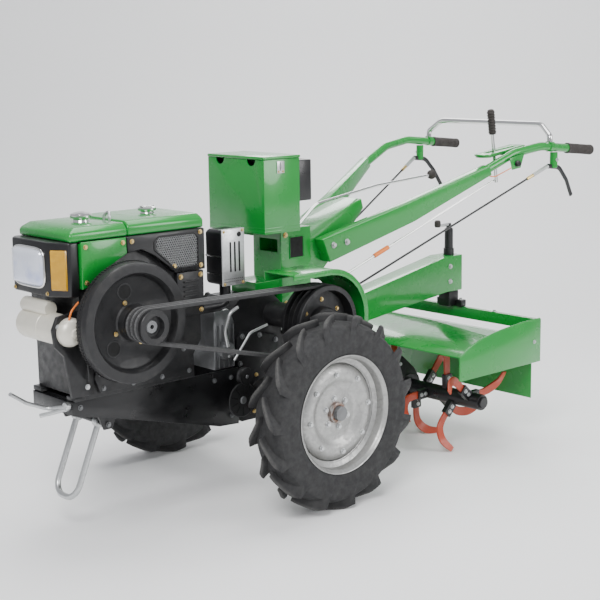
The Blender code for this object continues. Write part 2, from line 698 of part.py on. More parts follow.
def make_toolbox():
    wall = BOX_WALL
    outside = block(BOX_REAR, BOX_FRONT, -BOX_HALF_WIDTH, BOX_HALF_WIDTH, BOX_FLOOR, BOX_TOP)
    room = block(
        BOX_REAR + wall, BOX_FRONT - wall, -BOX_HALF_WIDTH + wall, BOX_HALF_WIDTH - wall,
        BOX_FLOOR + wall, BOX_TOP + 0.02,
    )
    notches = []
    for y in (-0.075, 0.075):
        notches.append(rod((BOX_FRONT - 0.02, y, BOX_TOP), (BOX_FRONT + 0.02, y, BOX_TOP), 0.020, 20))
    name_piece("toolbox", cut(outside, room, *notches), "green_paint")

    hinge = pivot("toolbox_lid_axis", 0, -BOX_HALF_WIDTH, BOX_TOP + GAP)
    lid = block(
        BOX_REAR - 0.002, BOX_FRONT + 0.004, -BOX_HALF_WIDTH, BOX_HALF_WIDTH + 0.004,
        BOX_TOP + GAP, BOX_TOP + LID_THICKNESS,
    )
    name_piece("toolbox_lid", lid, "green_paint", hinge)

    # z, x0, x1, y0, y1
    pocket = [(0.892, -0.190, BOX_REAR - GAP, -0.040, 0.130), (1.020, -0.190, BOX_REAR - GAP, -0.040, 0.130)]
    name_piece("rear_pocket", stack(pocket), "lamp_black")

    # The column stands on the gearbox and carries the toolbox on its top plate.
    column = block(-0.240, -0.112, -0.068, 0.068, 0.4953, 0.796)
    column = fuse(column, block(-0.240, 0.004, -0.068, 0.068, 0.792, BOX_FLOOR - GAP))
    column = fuse(column, block(-0.120, -0.010, -0.060, 0.060, GEARBOX_TOP + GAP, 0.640))
    column = cut(column, block(-0.111 - 0.05, -0.09, -0.036, 0.050, 0.725, 0.765))
    name_piece("handle_column", column, "tank_green")


def make_handles():
    # The base is a welded box behind the column, and the arms are bolted on its sides.
    base = [
        (-0.240 - GAP, 0.640), (-0.240 - GAP, 0.796), (-0.330, 0.815), (-0.480, 0.868),
        (-0.490, 0.835), (-0.360, 0.700), (-0.300, 0.650),
    ]
    name_piece("handle_base", plate(base, -0.062, 0.062), "tank_green")
    tube = ARM_TUBE_RADIUS
    for side_name, side in (("left", 1), ("right", -1)):
        # x, y, z of the middle, and the section's width and height
        stations = [
            (-0.275, 0.0835, 0.716, 0.042, 0.078),
            (-0.575, 0.185, 0.824, 0.040, 0.064),
            (-0.857, 0.288, 0.950, 0.034, 0.034),
        ]
        sections = []
        for x, y, z, width, height in stations:
            lean = 0.4 * height / 2
            sections.append([
                (x + lean, side * (y - width / 2), z + height / 2),
                (x + lean, side * (y + width / 2), z + height / 2),
                (x - lean, side * (y + width / 2), z - height / 2),
                (x - lean, side * (y - width / 2), z - height / 2),
            ])
        sections[0] = [(x, y if abs(y) > 0.07 else side * (0.062 + GAP), z) for x, y, z in sections[0]]
        box_arm = loft(sections)
        path = [
            (-0.835, side * 0.280, 0.9405), (-0.980, side * 0.305, 1.000), (-1.110, side * 0.319, 1.017),
            (-REAR_REACH + 0.012, side * 0.319, 0.990),
        ]
        arm = fuse(box_arm, bent_tube(path, tube, 0.15, 10))
        name_piece(side_name + "_handle_arm", arm, "green_paint")

        grip_end = Vector((-REAR_REACH, side * 0.319, 0.9888))
        along = (Vector(path[2]) - Vector(path[3])).normalized()
        grip_start = grip_end + along * GRIP_LENGTH
        sleeve = rod(grip_start, grip_end, GRIP_RADIUS, 16)
        hollow = rod(grip_start + along * 0.01, Vector(path[3]) - along * 0.001, tube + 0.0012, 16)
        name_piece(side_name + "_grip", cut(sleeve, hollow), "soft_rubber")

    # The chrome bar stands on both arms' tubes.
    bar = [
        (-1.160, 0.319, 1.0284), (-1.160, 0.319, 1.050), (-1.195, 0.255, 1.087),
        (-1.236, -0.255, 1.087), (-1.236, -0.319, 1.045), (-1.236, -0.319, 1.0210),
    ]
    name_piece("guard_bar", bent_tube(bar, 0.010, 0.055, 8), "chrome")


def make_controls():
    # The gate plate is an oval with a slot, held at the left arm's inner side.
    gate = []
    for centre_x, centre_z, first, last in ((-0.886, 0.988, -90, 90), (-1.062, 1.010, 90, 270)):
        for i in range(7):
            angle = math.radians(first + (last - first) * i / 6)
            gate.append((centre_x + 0.026 * math.cos(angle), 0.247 + 0.030 * math.sin(angle), centre_z))
    lift = Vector((0.0015, 0, 0.012))
    ring = loft([gate, [Vector(point) + lift for point in gate]])
    slot = loft([
        [(-0.890, 0.2405, 0.94), (-0.890, 0.2535, 0.94), (-1.058, 0.2535, 0.96), (-1.058, 0.2405, 0.96)],
        [(-0.890, 0.2405, 1.04), (-0.890, 0.2535, 1.04), (-1.058, 0.2535, 1.06), (-1.058, 0.2405, 1.06)],
    ])
    foot = block(-0.990, -0.960, 0.2555, 0.2862, 0.9925, 1.0045)
    name_piece("lever_gate", cut(fuse(ring, foot), slot), "green_paint")

    name_piece("clutch_lever", make_clutch_lever(), "galvanised")

    clutch_rod = rod((-0.952, 0.2378, 0.905), (-0.142, 0.110, 0.560), 0.004)
    name_piece("clutch_rod", clutch_rod, "chrome")

    # Each steering lever hangs in a holder under its arm's tube and pulls a rod to the gearbox.
    for side_name, side in (("left", 1), ("right", -1)):
        y = side * 0.319
        holder = rod((-1.184, y, 0.9925), (-1.184, y, 0.938), 0.014, 12)
        lever = [
            (-1.150, y, 0.945), (-1.215, y, 0.938), (-1.262, side * 0.317, 0.890), (-1.300, side * 0.312, 0.831),
        ]
        pull = rod((-1.152, y, 0.945), (-0.1045, side * 0.073, 0.470), 0.004)
        name_piece(side_name + "_steering_lever", fuse(holder, bent_tube(lever, 0.006), pull), "cast_grey")


def make_clutch_lever():
    stem = rod((-0.956, 0.247, 0.898), (-0.930, 0.247, 1.075), 0.006)
    grip = rod((-0.9325, 0.247, 1.065), (-0.920, 0.247, 1.150), 0.014, 16)
    return fuse(stem, grip)


# ---- tiller ----

def make_tiller_case():
    wide = CASE_HALF_WIDTH
    start = GEARBOX_REAR - GAP
    outline = [
        (start, 0.345), (start, 0.495), (-0.300, 0.495), (-0.425, 0.400), (-0.590, 0.332),
        (-0.700, 0.290), (-0.760, 0.240),
    ]
    outline += circle(ROTOR_X, rotor_z, 0.056, 150, 330, 10)
    outline += [(-0.560, 0.225), (-0.300, 0.345)]
    case = plate(outline, -wide, wide)
    bore = rod((ROTOR_X, -wide - 0.01, rotor_z), (ROTOR_X, wide + 0.01, rotor_z), SHAFT_RADIUS + PIN_GAP, 20)
    name_piece("tiller_gear_case", cut(case, bore), "cast_black")


def make_tine(phase, side):
    """A blade that leaves its holder along the radius, then curves back and sideways to its tip."""
    tip = TINE_REACH
    # radius, back along the turn, sideways, half width, half thickness
    stations = [
        (0.052, 0.000, 0.000, 0.013, 0.004),
        (0.105, 0.000, 0.000, 0.014, 0.004),
        (tip - 0.044, 0.008, 0.006, 0.016, 0.004),
        (tip - 0.020, 0.030, 0.022, 0.015, 0.004),
        (tip - 0.0125, 0.066, 0.044, 0.010, 0.003),
    ]
    turn = Matrix.Rotation(phase, 3, "Y")
    sections = []
    for i, (radial, back, sideways, half_width, half_thick) in enumerate(stations):
        here = Vector((back, side * sideways, radial))
        before = stations[max(i - 1, 0)]
        after = stations[min(i + 1, len(stations) - 1)]
        run = Vector((after[1] - before[1], side * (after[2] - before[2]), after[0] - before[0])).normalized()
        across = Vector((0, 1, 0)).cross(run).normalized()
        thick = run.cross(across).normalized()
        sections.append([
            turn @ (here + across * half_width * u + thick * half_thick * v)
            for u, v in ((1, 1), (1, -1), (-1, -1), (-1, 1))
        ])
    return sections


def tine_tip():
    """The tip's reach and its angle from the blade's root, from the blade's own corners."""
    corners = [corner for section in make_tine(0, 1) for corner in section]
    far = max(corners, key=lambda corner: math.hypot(corner.x, corner.z))
    return math.hypot(far.x, far.z), math.atan2(far.x, far.z)


def make_rotor():
    joint = pivot("rotor_axis", ROTOR_X, 0, rotor_z)
    centre = Vector((ROTOR_X, 0, rotor_z))
    shaft = [
        (-ROTOR_HALF_WIDTH - 0.008, 0), (-ROTOR_HALF_WIDTH - 0.008, SHAFT_RADIUS),
        (ROTOR_HALF_WIDTH + 0.008, SHAFT_RADIUS), (ROTOR_HALF_WIDTH + 0.008, 0),
    ]
    name_piece("rotor_shaft", solid_turned(shaft, centre, segments=24), "black_paint", joint)
    first = CASE_HALF_WIDTH + 0.006
    pitch = (ROTOR_HALF_WIDTH - first - 0.070) / (TINES_EACH_SIDE - 1)
    step = 2 * math.pi / TINES_EACH_SIDE
    reach, tip_angle = tine_tip()
    for side_name, side in (("left", 1), ("right", -1)):
        bore = SHAFT_RADIUS + 0.0006
        profile = [
            (side * first, bore), (side * first, SLEEVE_RADIUS),
            (side * ROTOR_HALF_WIDTH, SLEEVE_RADIUS), (side * ROTOR_HALF_WIDTH, bore),
        ]
        sleeve = turned(profile, centre, segments=24)
        blades = []
        for k in range(TINES_EACH_SIDE):
            y = side * (first + 0.024 + pitch * k)
            turn_number = (k * 3) % TINES_EACH_SIDE
            phase = math.pi - tip_angle + step * (turn_number + 0.5)
            sections = make_tine(phase, side)
            blade = loft([[corner + centre + Vector((0, y, 0)) for corner in ring] for ring in sections])
            outward = Matrix.Rotation(phase, 3, "Y")
            holder = loft([
                [centre + Vector((0, y, 0)) + outward @ Vector((u * 0.017, v * 0.009, radial)) for u, v in
                 ((1, 1), (1, -1), (-1, -1), (-1, 1))]
                for radial in (0.024, 0.074)
            ])
            blades += [blade, holder]
        name_piece(side_name + "_rotor", fuse(sleeve, *blades), "tine_paint", joint)


def make_hood():
    wide = HOOD_HALF_WIDTH
    sheet = HOOD_SHEET
    side_outline = [
        (HOOD_FRONT, HOOD_SIDE_BOTTOM), (HOOD_FRONT, 0.356), (-0.640, 0.382), (-0.700, 0.400),
        (-0.800, 0.416), (-0.920, 0.426), (HOOD_REAR - 0.010, 0.427), (HOOD_REAR - 0.010, HOOD_SIDE_BOTTOM),
    ]
    crown = [
        (HOOD_FRONT, 0.356), (-0.640, 0.374), (-0.700, 0.387), (-0.800, 0.392), (-0.900, 0.386),
        (-0.978, 0.370),
    ]
    under = [(x, z - sheet) for x, z in crown]
    left = plate(side_outline, wide - sheet, wide)
    right = plate(side_outline, -wide, -wide + sheet)
    top = plate(crown + under[::-1], -wide + 0.001, wide - 0.001)
    bar = block(HOOD_REAR - 0.009, HOOD_REAR + 0.009, -wide + 0.001, wide - 0.001, 0.386, 0.4265)
    name_piece("tiller_hood", fuse(left, right, top, bar), "green_paint")

    hinge_x = -0.986
    hinge = pivot("rear_flap_axis", hinge_x, 0, FLAP_HINGE_Z)
    half = wide - sheet - 0.006
    flap = block(hinge_x - 0.0015, hinge_x + 0.0015, -half, half, FLAP_BOTTOM, FLAP_HINGE_Z - 0.004)
    ends = wide - sheet - GAP
    hinge_rod = rod((hinge_x, -ends, FLAP_HINGE_Z), (hinge_x, ends, FLAP_HINGE_Z), 0.006, 16)
    name_piece("rear_flap", fuse(hinge_rod, flap), "green_paint", hinge)


def make_boom():
    half = BOOM_HALF_WIDTH
    outline = [
        (-0.3003, 0.4957), (-0.330, 0.520), (-0.470, 0.530), (-0.935, 0.617), (-1.022, 0.617),
        (-1.022, 0.487), (-0.940, 0.487), (-0.440, 0.430), (-0.4253, 0.4205), (-0.405, 0.4157),
    ]
    beam = plate(outline, -half, half)
    hole = rod((COLUMN_X, 0, 0.45), (COLUMN_X, 0, 0.65), COLUMN_RADIUS + 0.0006, 24)
    name_piece("tiller_boom", cut(beam, hole), "green_paint")

    profile = [
        (0.4268, 0), (0.4268, COLUMN_RADIUS), (0.712, COLUMN_RADIUS), (0.716, 0.010), (0.732, 0.008),
        (0.732, 0),
    ]
    column = solid_turned(profile, (COLUMN_X, 0, 0), "Z", 20)
    crank = rod((COLUMN_X - 0.004, 0, 0.727), (COLUMN_X + 0.070, 0, 0.727), 0.006)
    knob = rod((COLUMN_X + 0.062, 0, 0.724), (COLUMN_X + 0.062, 0, 0.748), 0.012)
    name_piece("depth_column", fuse(column, crank, knob), "black_paint")


def make_machine():
    make_wheel("left", 1)
    make_wheel("right", -1)
    make_frame()
    make_stand()
    make_engine()
    make_lamp()
    make_starter()
    make_exhaust()
    make_belt_drive()
    make_belt_cover()
    make_gearbox()
    make_toolbox()
    make_handles()
    make_controls()
    make_tiller_case()
    make_rotor()
    make_hood()
    make_boom()


for leftover in list(bpy.data.objects):
    bpy.data.objects.remove(leftover, do_unlink=True)
ground_centre = bpy.data.objects.new("ground_centre", None)
bpy.context.scene.collection.objects.link(ground_centre)
ground_centre.location = (AXLE_X, 0, 0)
rotor_z = tine_tip()[0] * math.cos(math.pi / TINES_EACH_SIDE)
make_machine()
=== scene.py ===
# Walking tractor with a rotary tiller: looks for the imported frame. Metres, +X forward, +Y flywheel side.
import json
import math

import bmesh
import bpy
import numpy as np
from mathutils import Matrix, Vector


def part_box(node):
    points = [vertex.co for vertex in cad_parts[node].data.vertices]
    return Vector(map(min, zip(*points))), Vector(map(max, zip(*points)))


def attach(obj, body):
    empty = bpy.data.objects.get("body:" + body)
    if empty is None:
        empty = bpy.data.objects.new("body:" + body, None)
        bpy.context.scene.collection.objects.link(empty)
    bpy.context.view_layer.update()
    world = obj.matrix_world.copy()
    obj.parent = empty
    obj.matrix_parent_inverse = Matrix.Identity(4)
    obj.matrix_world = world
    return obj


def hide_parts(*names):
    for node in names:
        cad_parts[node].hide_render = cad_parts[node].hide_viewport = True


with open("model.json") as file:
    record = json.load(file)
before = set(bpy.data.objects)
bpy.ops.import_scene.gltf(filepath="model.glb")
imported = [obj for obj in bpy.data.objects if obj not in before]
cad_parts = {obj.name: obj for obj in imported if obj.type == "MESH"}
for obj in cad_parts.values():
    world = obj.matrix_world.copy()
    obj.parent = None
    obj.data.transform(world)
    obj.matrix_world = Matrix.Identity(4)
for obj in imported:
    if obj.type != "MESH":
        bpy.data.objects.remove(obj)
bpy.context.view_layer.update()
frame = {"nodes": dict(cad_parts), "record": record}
bodyOf = {n: b for b, members in frame["record"]["behaviour"]["bodies"].items() for n in members}
slotOf = {s["node"]: s["material_slot"] for s in frame["record"]["subparts"]}
axleX = 0.2672  # the wheel axle, from the frame's origin
wheelZ = 0.295
wheelY = 0.415  # half the track
root = "machine"
sides = (("left", 1), ("right", -1))

# Shader maths: a Term is a socket, and an expression on Terms adds Math nodes
def plug(tree, value, target):
    if isinstance(value, Term):
        tree.links.new(value.socket, target)
    elif value is not None:
        target.default_value = value


def addNode(tree, kind, settings=None, sockets=None):
    node = tree.nodes.new(kind)
    for name, value in (settings or {}).items():
        setattr(node, name, value)
    for key, value in (sockets or {}).items():
        plug(tree, value, node.inputs[key])
    return node


class Term:
    def __init__(self, tree, socket):
        self.tree, self.socket = tree, socket

    def math(self, operation, other=None):
        sockets = {0: self, 1: other}
        return Term(self.tree,
                    addNode(self.tree, "ShaderNodeMath", {"operation": operation}, sockets).outputs[0])

    def __add__(self, other): return self.math("ADD", other)
    def __sub__(self, other): return self.math("SUBTRACT", other)
    def __mul__(self, other): return self.math("MULTIPLY", other)
    def __pow__(self, other): return self.math("POWER", other)
    def __radd__(self, other): return self.math("ADD", other)
    def __rmul__(self, other): return self.math("MULTIPLY", other)
    def __rsub__(self, other): return self.math("MULTIPLY", -1.0).math("ADD", other)

    def ramp(self, low, high, outLow=0.0, outHigh=1.0):
        sockets = {"Value": self, "From Min": low, "From Max": high, "To Min": outLow, "To Max": outHigh}
        return Term(self.tree, addNode(self.tree, "ShaderNodeMapRange", None, sockets).outputs[0])


# A finish: a base colour with patches blended over it, and its own sheen and grain
class Paint:
    def __init__(self, name, colour, roughness, metallic=0.0, coat=0.0):
        self.material = bpy.data.materials.new(name)
        self.material.use_nodes = True
        self.material.diffuse_color = (*colour, 1)
        self.tree = self.material.node_tree
        self.shader = self.tree.nodes["Principled BSDF"]
        starts = {"Roughness": roughness, "Metallic": metallic, "Coat Weight": coat, "Coat Roughness": 0.06}
        for key, value in starts.items():
            self.shader.inputs[key].default_value = value
        self.place = self.term("ShaderNodeTexCoord", output="Object")
        self.colour = self.term("ShaderNodeRGB")
        self.colour.socket.default_value = (*colour, 1)

    def term(self, kind, settings=None, sockets=None, output=0):
        return Term(self.tree, addNode(self.tree, kind, settings, sockets).outputs[output])

    def noise(self, scale, detail=4.0):
        sockets = {"Vector": self.place, "Scale": scale, "Detail": detail, "Roughness": 0.55}
        return self.term("ShaderNodeTexNoise", None, sockets, "Fac")

    def cells(self, scale):
        colours = self.term("ShaderNodeTexVoronoi", None, {"Vector": self.place, "Scale": scale}, "Color")
        return self.term("ShaderNodeSeparateColor", None, {0: colours})

    def axis(self, letter):
        return self.term("ShaderNodeSeparateXYZ", None, {0: self.place}, letter)

    def wheelRadius(self):
        x, z = self.axis("X") - axleX, self.axis("Z") - wheelZ
        return (x * x + z * z) ** 0.5

    def facingUp(self):
        normal = self.term("ShaderNodeNewGeometry", output="Normal")
        return self.term("ShaderNodeSeparateXYZ", None, {0: normal}, "Z")

    def blend(self, factor, colour):
        sockets = {0: factor, 6: self.colour, 7: (*colour, 1)}
        self.colour = self.term("ShaderNodeMix", {"data_type": "RGBA"}, sockets, 2)

    def patches(self, scale, low, high, share, colour):
        self.blend(self.noise(scale).ramp(low, high, 0.0, share), colour)

    def spangle(self, scale, share, colour, smooth, rough):
        self.blend(self.cells(scale).ramp(0.0, 1.0, 0.0, share), colour)
        plug(self.tree, self.cells(scale).ramp(0.0, 1.0, smooth, rough), self.shader.inputs["Roughness"])

    def sheen(self, scale, smooth, rough, top=0.7):
        plug(self.tree, self.noise(scale).ramp(0.3, top, smooth, rough), self.shader.inputs["Roughness"])

    def bump(self, height, strength, distance):
        sockets = {"Strength": strength, "Distance": distance, "Height": height}
        plug(self.tree, self.term("ShaderNodeBump", None, sockets), self.shader.inputs["Normal"])

    def grain(self, scale, detail, strength, distance):
        self.bump(self.noise(scale, detail), strength, distance)

    def done(self):
        plug(self.tree, self.colour, self.shader.inputs["Base Color"])
        return self.material


# base: colour, roughness, metallic, coat; patch, sheen and grain as the methods above take them
def makeFinish(name, base, patch=None, sheen=None, grain=None):
    paint = Paint(name, *base)
    if patch:
        paint.patches(*patch)
    if sheen:
        paint.sheen(*sheen)
    if grain:
        paint.grain(*grain)
    return paint.done()


def makeGreen():
    paint = Paint("greenEnamel", (0.004, 0.235, 0.026), 0.26, 0.0, 0.45)
    paint.patches(3.0, 0.35, 0.75, 0.35, (0.003, 0.18, 0.028))
    dust = paint.facingUp().ramp(0.5, 1.0) * paint.noise(26.0).ramp(0.5, 0.8)
    paint.blend(dust * 0.05, (0.35, 0.42, 0.30))
    paint.sheen(9.0, 0.18, 0.33)
    paint.grain(140.0, 2.0, 0.05, 0.0006)
    return paint.done()


def makeGalvanised():
    paint = Paint("galvanised", (0.58, 0.59, 0.59), 0.36, 0.85)
    paint.spangle(160.0, 0.35, (0.40, 0.41, 0.42), 0.28, 0.46)
    paint.patches(18.0, 0.58, 0.8, 0.3, (0.30, 0.29, 0.27))
    paint.grain(90.0, 4.0, 0.06, 0.0006)
    return paint.done()


def makeRimSteel():
    paint = Paint("rimSteel", (0.42, 0.42, 0.41), 0.42, 0.8)
    paint.spangle(120.0, 0.4, (0.27, 0.27, 0.265), 0.34, 0.55)
    rust = paint.wheelRadius().ramp(0.040, 0.024) * paint.noise(70.0).ramp(0.35, 0.6)
    paint.blend(rust, (0.20, 0.075, 0.03))
    paint.patches(14.0, 0.55, 0.8, 0.45, (0.19, 0.18, 0.165))
    paint.grain(110.0, 4.0, 0.08, 0.0008)
    return paint.done()


def makeTyreRubber():
    paint = Paint("tyreRubber", (0.016, 0.016, 0.017), 0.75)
    paint.patches(40.0, 0.4, 0.75, 0.35, (0.040, 0.039, 0.037))
    worn = paint.wheelRadius().ramp(0.285, 0.293) * paint.noise(120.0).ramp(0.3, 0.6, 0.35, 1.0)
    paint.blend(worn * 0.6, (0.10, 0.098, 0.094))
    paint.sheen(60.0, 0.66, 0.92)
    paint.grain(600.0, 5.0, 0.3, 0.0008)
    return paint.done()


belts = {"count": 3, "pitch": 0.0195, "topWidth": 0.0165, "height": 0.0095}


def makeBeltRubber():
    paint = Paint("beltRubber", (0.035, 0.035, 0.036), 0.7)
    edge = (paint.axis("Y") * (1.0 / belts["pitch"])).math("FRACT").ramp(0.35, 0.5, 0.0, 0.5)
    paint.blend(edge * paint.noise(200.0).ramp(0.3, 0.6), (0.20, 0.20, 0.20))
    paint.sheen(90.0, 0.55, 0.85)
    paint.grain(900.0, 2.0, 0.25, 0.0005)
    return paint.done()


def makeLampGlass():
    paint = Paint("lampGlass", (0.72, 0.77, 0.95), 0.05, 0.35, 1.0)
    # painted reflection: the lens is blended towards white towards its top
    paint.blend(paint.axis("Z").ramp(0.72, 0.84, 0.0, 0.6), (0.93, 0.96, 1.0))
    paint.patches(16.0, 0.5, 0.7, 0.5, (0.35, 0.42, 0.80))
    paint.sheen(60.0, 0.04, 0.12, 0.8)
    paint.bump((paint.axis("Y") * 420.0).math("SINE"), 0.12, 0.0008)
    return paint.done()


def makeAmber():
    paint = Paint("amberLens", (0.50, 0.26, 0.012), 0.12, 0.0, 1.0)
    paint.patches(40.0, 0.4, 0.7, 0.4, (0.70, 0.40, 0.03))
    paint.bump((paint.axis("Z") * 900.0).math("SINE"), 0.15, 0.0005)
    return paint.done()


def makeTinePaint():
    paint = Paint("tinePaint", (0.42, 0.050, 0.018), 0.42, 0.05, 0.2)
    paint.patches(24.0, 0.45, 0.75, 0.5, (0.30, 0.032, 0.015))
    paint.patches(90.0, 0.66, 0.74, 0.6, (0.17, 0.10, 0.08))
    paint.sheen(40.0, 0.34, 0.6)
    paint.grain(160.0, 4.0, 0.12, 0.0008)
    return paint.done()


black = makeFinish("blackEnamel", ((0.006, 0.006, 0.007), 0.34, 0.0, 0.1),
                   (12.0, 0.5, 0.8, 0.25, (0.022, 0.021, 0.020)), (20.0, 0.24, 0.48),
                   (170.0, 2.0, 0.08, 0.0006))
castBlack = makeFinish("castBlack", ((0.010, 0.010, 0.011), 0.42, 0.15, 0.1),
                       (30.0, 0.55, 0.75, 0.4, (0.035, 0.032, 0.029)), (40.0, 0.38, 0.66),
                       (420.0, 5.0, 0.35, 0.0012))
castGrey = makeFinish("castGrey", ((0.20, 0.205, 0.21), 0.42, 0.8),
                      (22.0, 0.45, 0.8, 0.5, (0.07, 0.067, 0.064)), (50.0, 0.36, 0.6), (380.0, 5.0, 0.3, 0.001))
chrome = makeFinish("brightChrome", ((0.78, 0.78, 0.77), 0.1, 1.0),
                    None, (60.0, 0.06, 0.17, 0.8), (300.0, 4.0, 0.02, 0.0003))
zinc = makeFinish("yellowZinc", ((0.66, 0.49, 0.20), 0.3, 0.95),
                  (160.0, 0.4, 0.7, 0.5, (0.52, 0.45, 0.32)), (120.0, 0.22, 0.42))
rubber = makeFinish("gripRubber", ((0.026, 0.022, 0.020), 0.7),
                    (90.0, 0.4, 0.7, 0.4, (0.055, 0.045, 0.038)), (70.0, 0.55, 0.85), (700.0, 3.0, 0.3, 0.0006))
cream = makeFinish("creamPaint", ((0.70, 0.67, 0.58), 0.34, 0.25, 0.2),
                   (20.0, 0.5, 0.8, 0.4, (0.48, 0.46, 0.41)), (50.0, 0.28, 0.48), (200.0, 4.0, 0.1, 0.0006))
orange = makeFinish("orangePlastic", ((0.80, 0.20, 0.03), 0.45),
                    (60.0, 0.4, 0.7, 0.3, (0.62, 0.13, 0.02)), (50.0, 0.36, 0.55))
# painted shade: a near-black finish for the discs and sheets put in holes, slots and openings, standing for the
# shade inside them
holeShade = makeFinish("paintedHoleShade", ((0.004, 0.004, 0.004), 0.9),
                    (80.0, 0.4, 0.7, 0.5, (0.010, 0.010, 0.010)), (50.0, 0.8, 0.95))
floorPaint = makeFinish("paleFloor", ((0.96, 0.96, 0.96), 0.7),
                        (1.5, 0.3, 0.7, 0.12, (0.92, 0.92, 0.92)), (5.0, 0.6, 0.8))
green, galvanised, rimSteel, tinePaint = makeGreen(), makeGalvanised(), makeRimSteel(), makeTinePaint()
tyreRubber, beltRubber, lampGlass, amber = makeTyreRubber(), makeBeltRubber(), makeLampGlass(), makeAmber()
finishes = {
    "green_paint": green, "tank_green": green, "black_paint": black, "lamp_black": black,
    "engine_black": castBlack, "cast_black": castBlack, "cast_grey": castGrey, "galvanised": galvanised,
    "chrome": chrome, "tine_paint": tinePaint, "tyre_rubber": tyreRubber, "soft_rubber": rubber,
    "lamp_glass": lampGlass, "starter_paint": cream,
}
print("materials made")


# Mesh helpers: all points are measured from the axle, and moved to the frame's origin at the end

def meshOf(name, shape):
    mesh = bpy.data.meshes.new(name)
    shape.to_mesh(mesh)
    shape.free()
    return mesh


def linked(name, data):
    made = bpy.data.objects.new(name, data)
    bpy.context.scene.collection.objects.link(made)
    return made


def settle(piece, body, angle):
    piece.data.shade_smooth()
    piece.data.set_sharp_from_angle(angle=math.radians(angle))
    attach(piece, body)
    return piece


def place(name, shape, material, body=root, angle=32, bevel=0.0, segments=2):
    bmesh.ops.remove_doubles(shape, verts=shape.verts, dist=0.00001)
    bmesh.ops.recalc_face_normals(shape, faces=shape.faces)
    bmesh.ops.translate(shape, verts=shape.verts, vec=(axleX, 0, 0))
    return dress(name, meshOf(name, shape), material, body, angle, bevel, segments)


def dress(name, mesh, material, body, angle, bevel, segments):
    mesh.name = name
    mesh.materials.clear()
    mesh.materials.append(material)
    piece = linked(name, mesh)
    if bevel:
        rounding = piece.modifiers.new("rounding", "BEVEL")
        rounding.width = bevel
        rounding.segments = segments
        rounding.limit_method = "ANGLE"
        rounding.angle_limit = math.radians(32)
        rounding.use_clamp_overlap = True
        bake(piece)
    return settle(piece, body, angle)


def bake(piece):
    bpy.context.view_layer.update()
    evaluated = piece.evaluated_get(bpy.context.evaluated_depsgraph_get())
    mesh = bpy.data.meshes.new_from_object(evaluated)
    piece.modifiers.clear()
    piece.data = mesh


# A CAD node's own shape with rounded edges
def rounded(node, material, bevel=0.002, segments=2, angle=32):
    shape = bmesh.new()
    shape.from_mesh(frame["nodes"][node].data)
    bmesh.ops.remove_doubles(shape, verts=shape.verts, dist=0.00001)
    bmesh.ops.dissolve_limit(shape, angle_limit=0.01, verts=shape.verts, edges=shape.edges)
    name = node + "Look"
    piece = dress(name, meshOf(name, shape), material, bodyOf[node], angle, bevel, segments)
    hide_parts(node)
    return piece


def boxShape(shape, x0, x1, y0, y1, z0, z1):
    made = bmesh.ops.create_cube(shape, size=1.0)["verts"]
    bmesh.ops.scale(shape, verts=made, vec=(x1 - x0, y1 - y0, z1 - z0))
    bmesh.ops.translate(shape, verts=made, vec=((x0 + x1) / 2, (y0 + y1) / 2, (z0 + z1) / 2))
    return made


def box(name, sizes, material, body=root, bevel=0.002, segments=2):
    shape = bmesh.new()
    boxShape(shape, *sizes)
    return place(name, shape, material, body, bevel=bevel, segments=segments)


axisTurn = {
    "Y": Matrix.Identity(4), "X": Matrix.Rotation(-math.pi / 2, 4, "Z"),
    "Z": Matrix.Rotation(math.pi / 2, 4, "X"),
}


def lathe(shape, profile, centre, axis="Y", segments=64, closed=True, toward=None):
    turn = axisTurn[axis] if toward is None else Vector(toward).to_track_quat("Y", "Z").to_matrix().to_4x4()
    move = Matrix.Translation(centre) @ turn
    rings = []
    for along, radius in profile:
        if radius < 1e-6:
            rings.append([shape.verts.new(move @ Vector((0, along, 0)))])
            continue
        turns = [2 * math.pi * k / segments for k in range(segments)]
        rings.append([shape.verts.new(move @ Vector((radius * math.sin(a), along, radius * math.cos(a))))
                      for a in turns])
    pairs = list(zip(rings, rings[1:])) + ([(rings[-1], rings[0])] if closed else [])
    for near, far in pairs:
        if len(near) == 1 and len(far) == 1:
            continue
        for k in range(segments):
            m = (k + 1) % segments
            corners = [near[k % len(near)], near[m % len(near)], far[m % len(far)], far[k % len(far)]]
            unique = []
            for corner in corners:
                if corner not in unique:
                    unique.append(corner)
            shape.faces.new(unique)


def turned(name, profile, centre, material, body=root, axis="Y", segments=64, closed=True,
           toward=None, angle=32):
    shape = bmesh.new()
    lathe(shape, profile, centre, axis, segments, closed, toward)
    return place(name, shape, material, body, angle)


def curvePath(points, bend, steps=8):
    points = [Vector(p) for p in points]
    path = [points[0]]
    for before, corner, after in zip(points, points[1:], points[2:]):
        back, ahead = (before - corner).normalized(), (after - corner).normalized()
        half = back.angle(ahead) / 2
        if half > 1.55:
            path.append(corner)
            continue
        reach = min(bend / math.tan(half), 0.45 * min((before - corner).length, (after - corner).length))
        size = reach * math.tan(half)
        middle = corner + (back + ahead).normalized() * size / math.sin(half)
        first, last = corner + back * reach - middle, corner + ahead * reach - middle
        for step in range(steps + 1):
            path.append(middle + first.normalized().slerp(last.normalized(), step / steps) * first.length)
    path.append(points[-1])
    return path


# Faces between like rings of points, with both ends closed
def skin(shape, rings):
    shape.faces.new(rings[0])
    shape.faces.new(rings[-1])
    for near, far in zip(rings, rings[1:]):
        for k in range(len(near)):
            m = (k + 1) % len(near)
            shape.faces.new((near[k], near[m], far[m], far[k]))


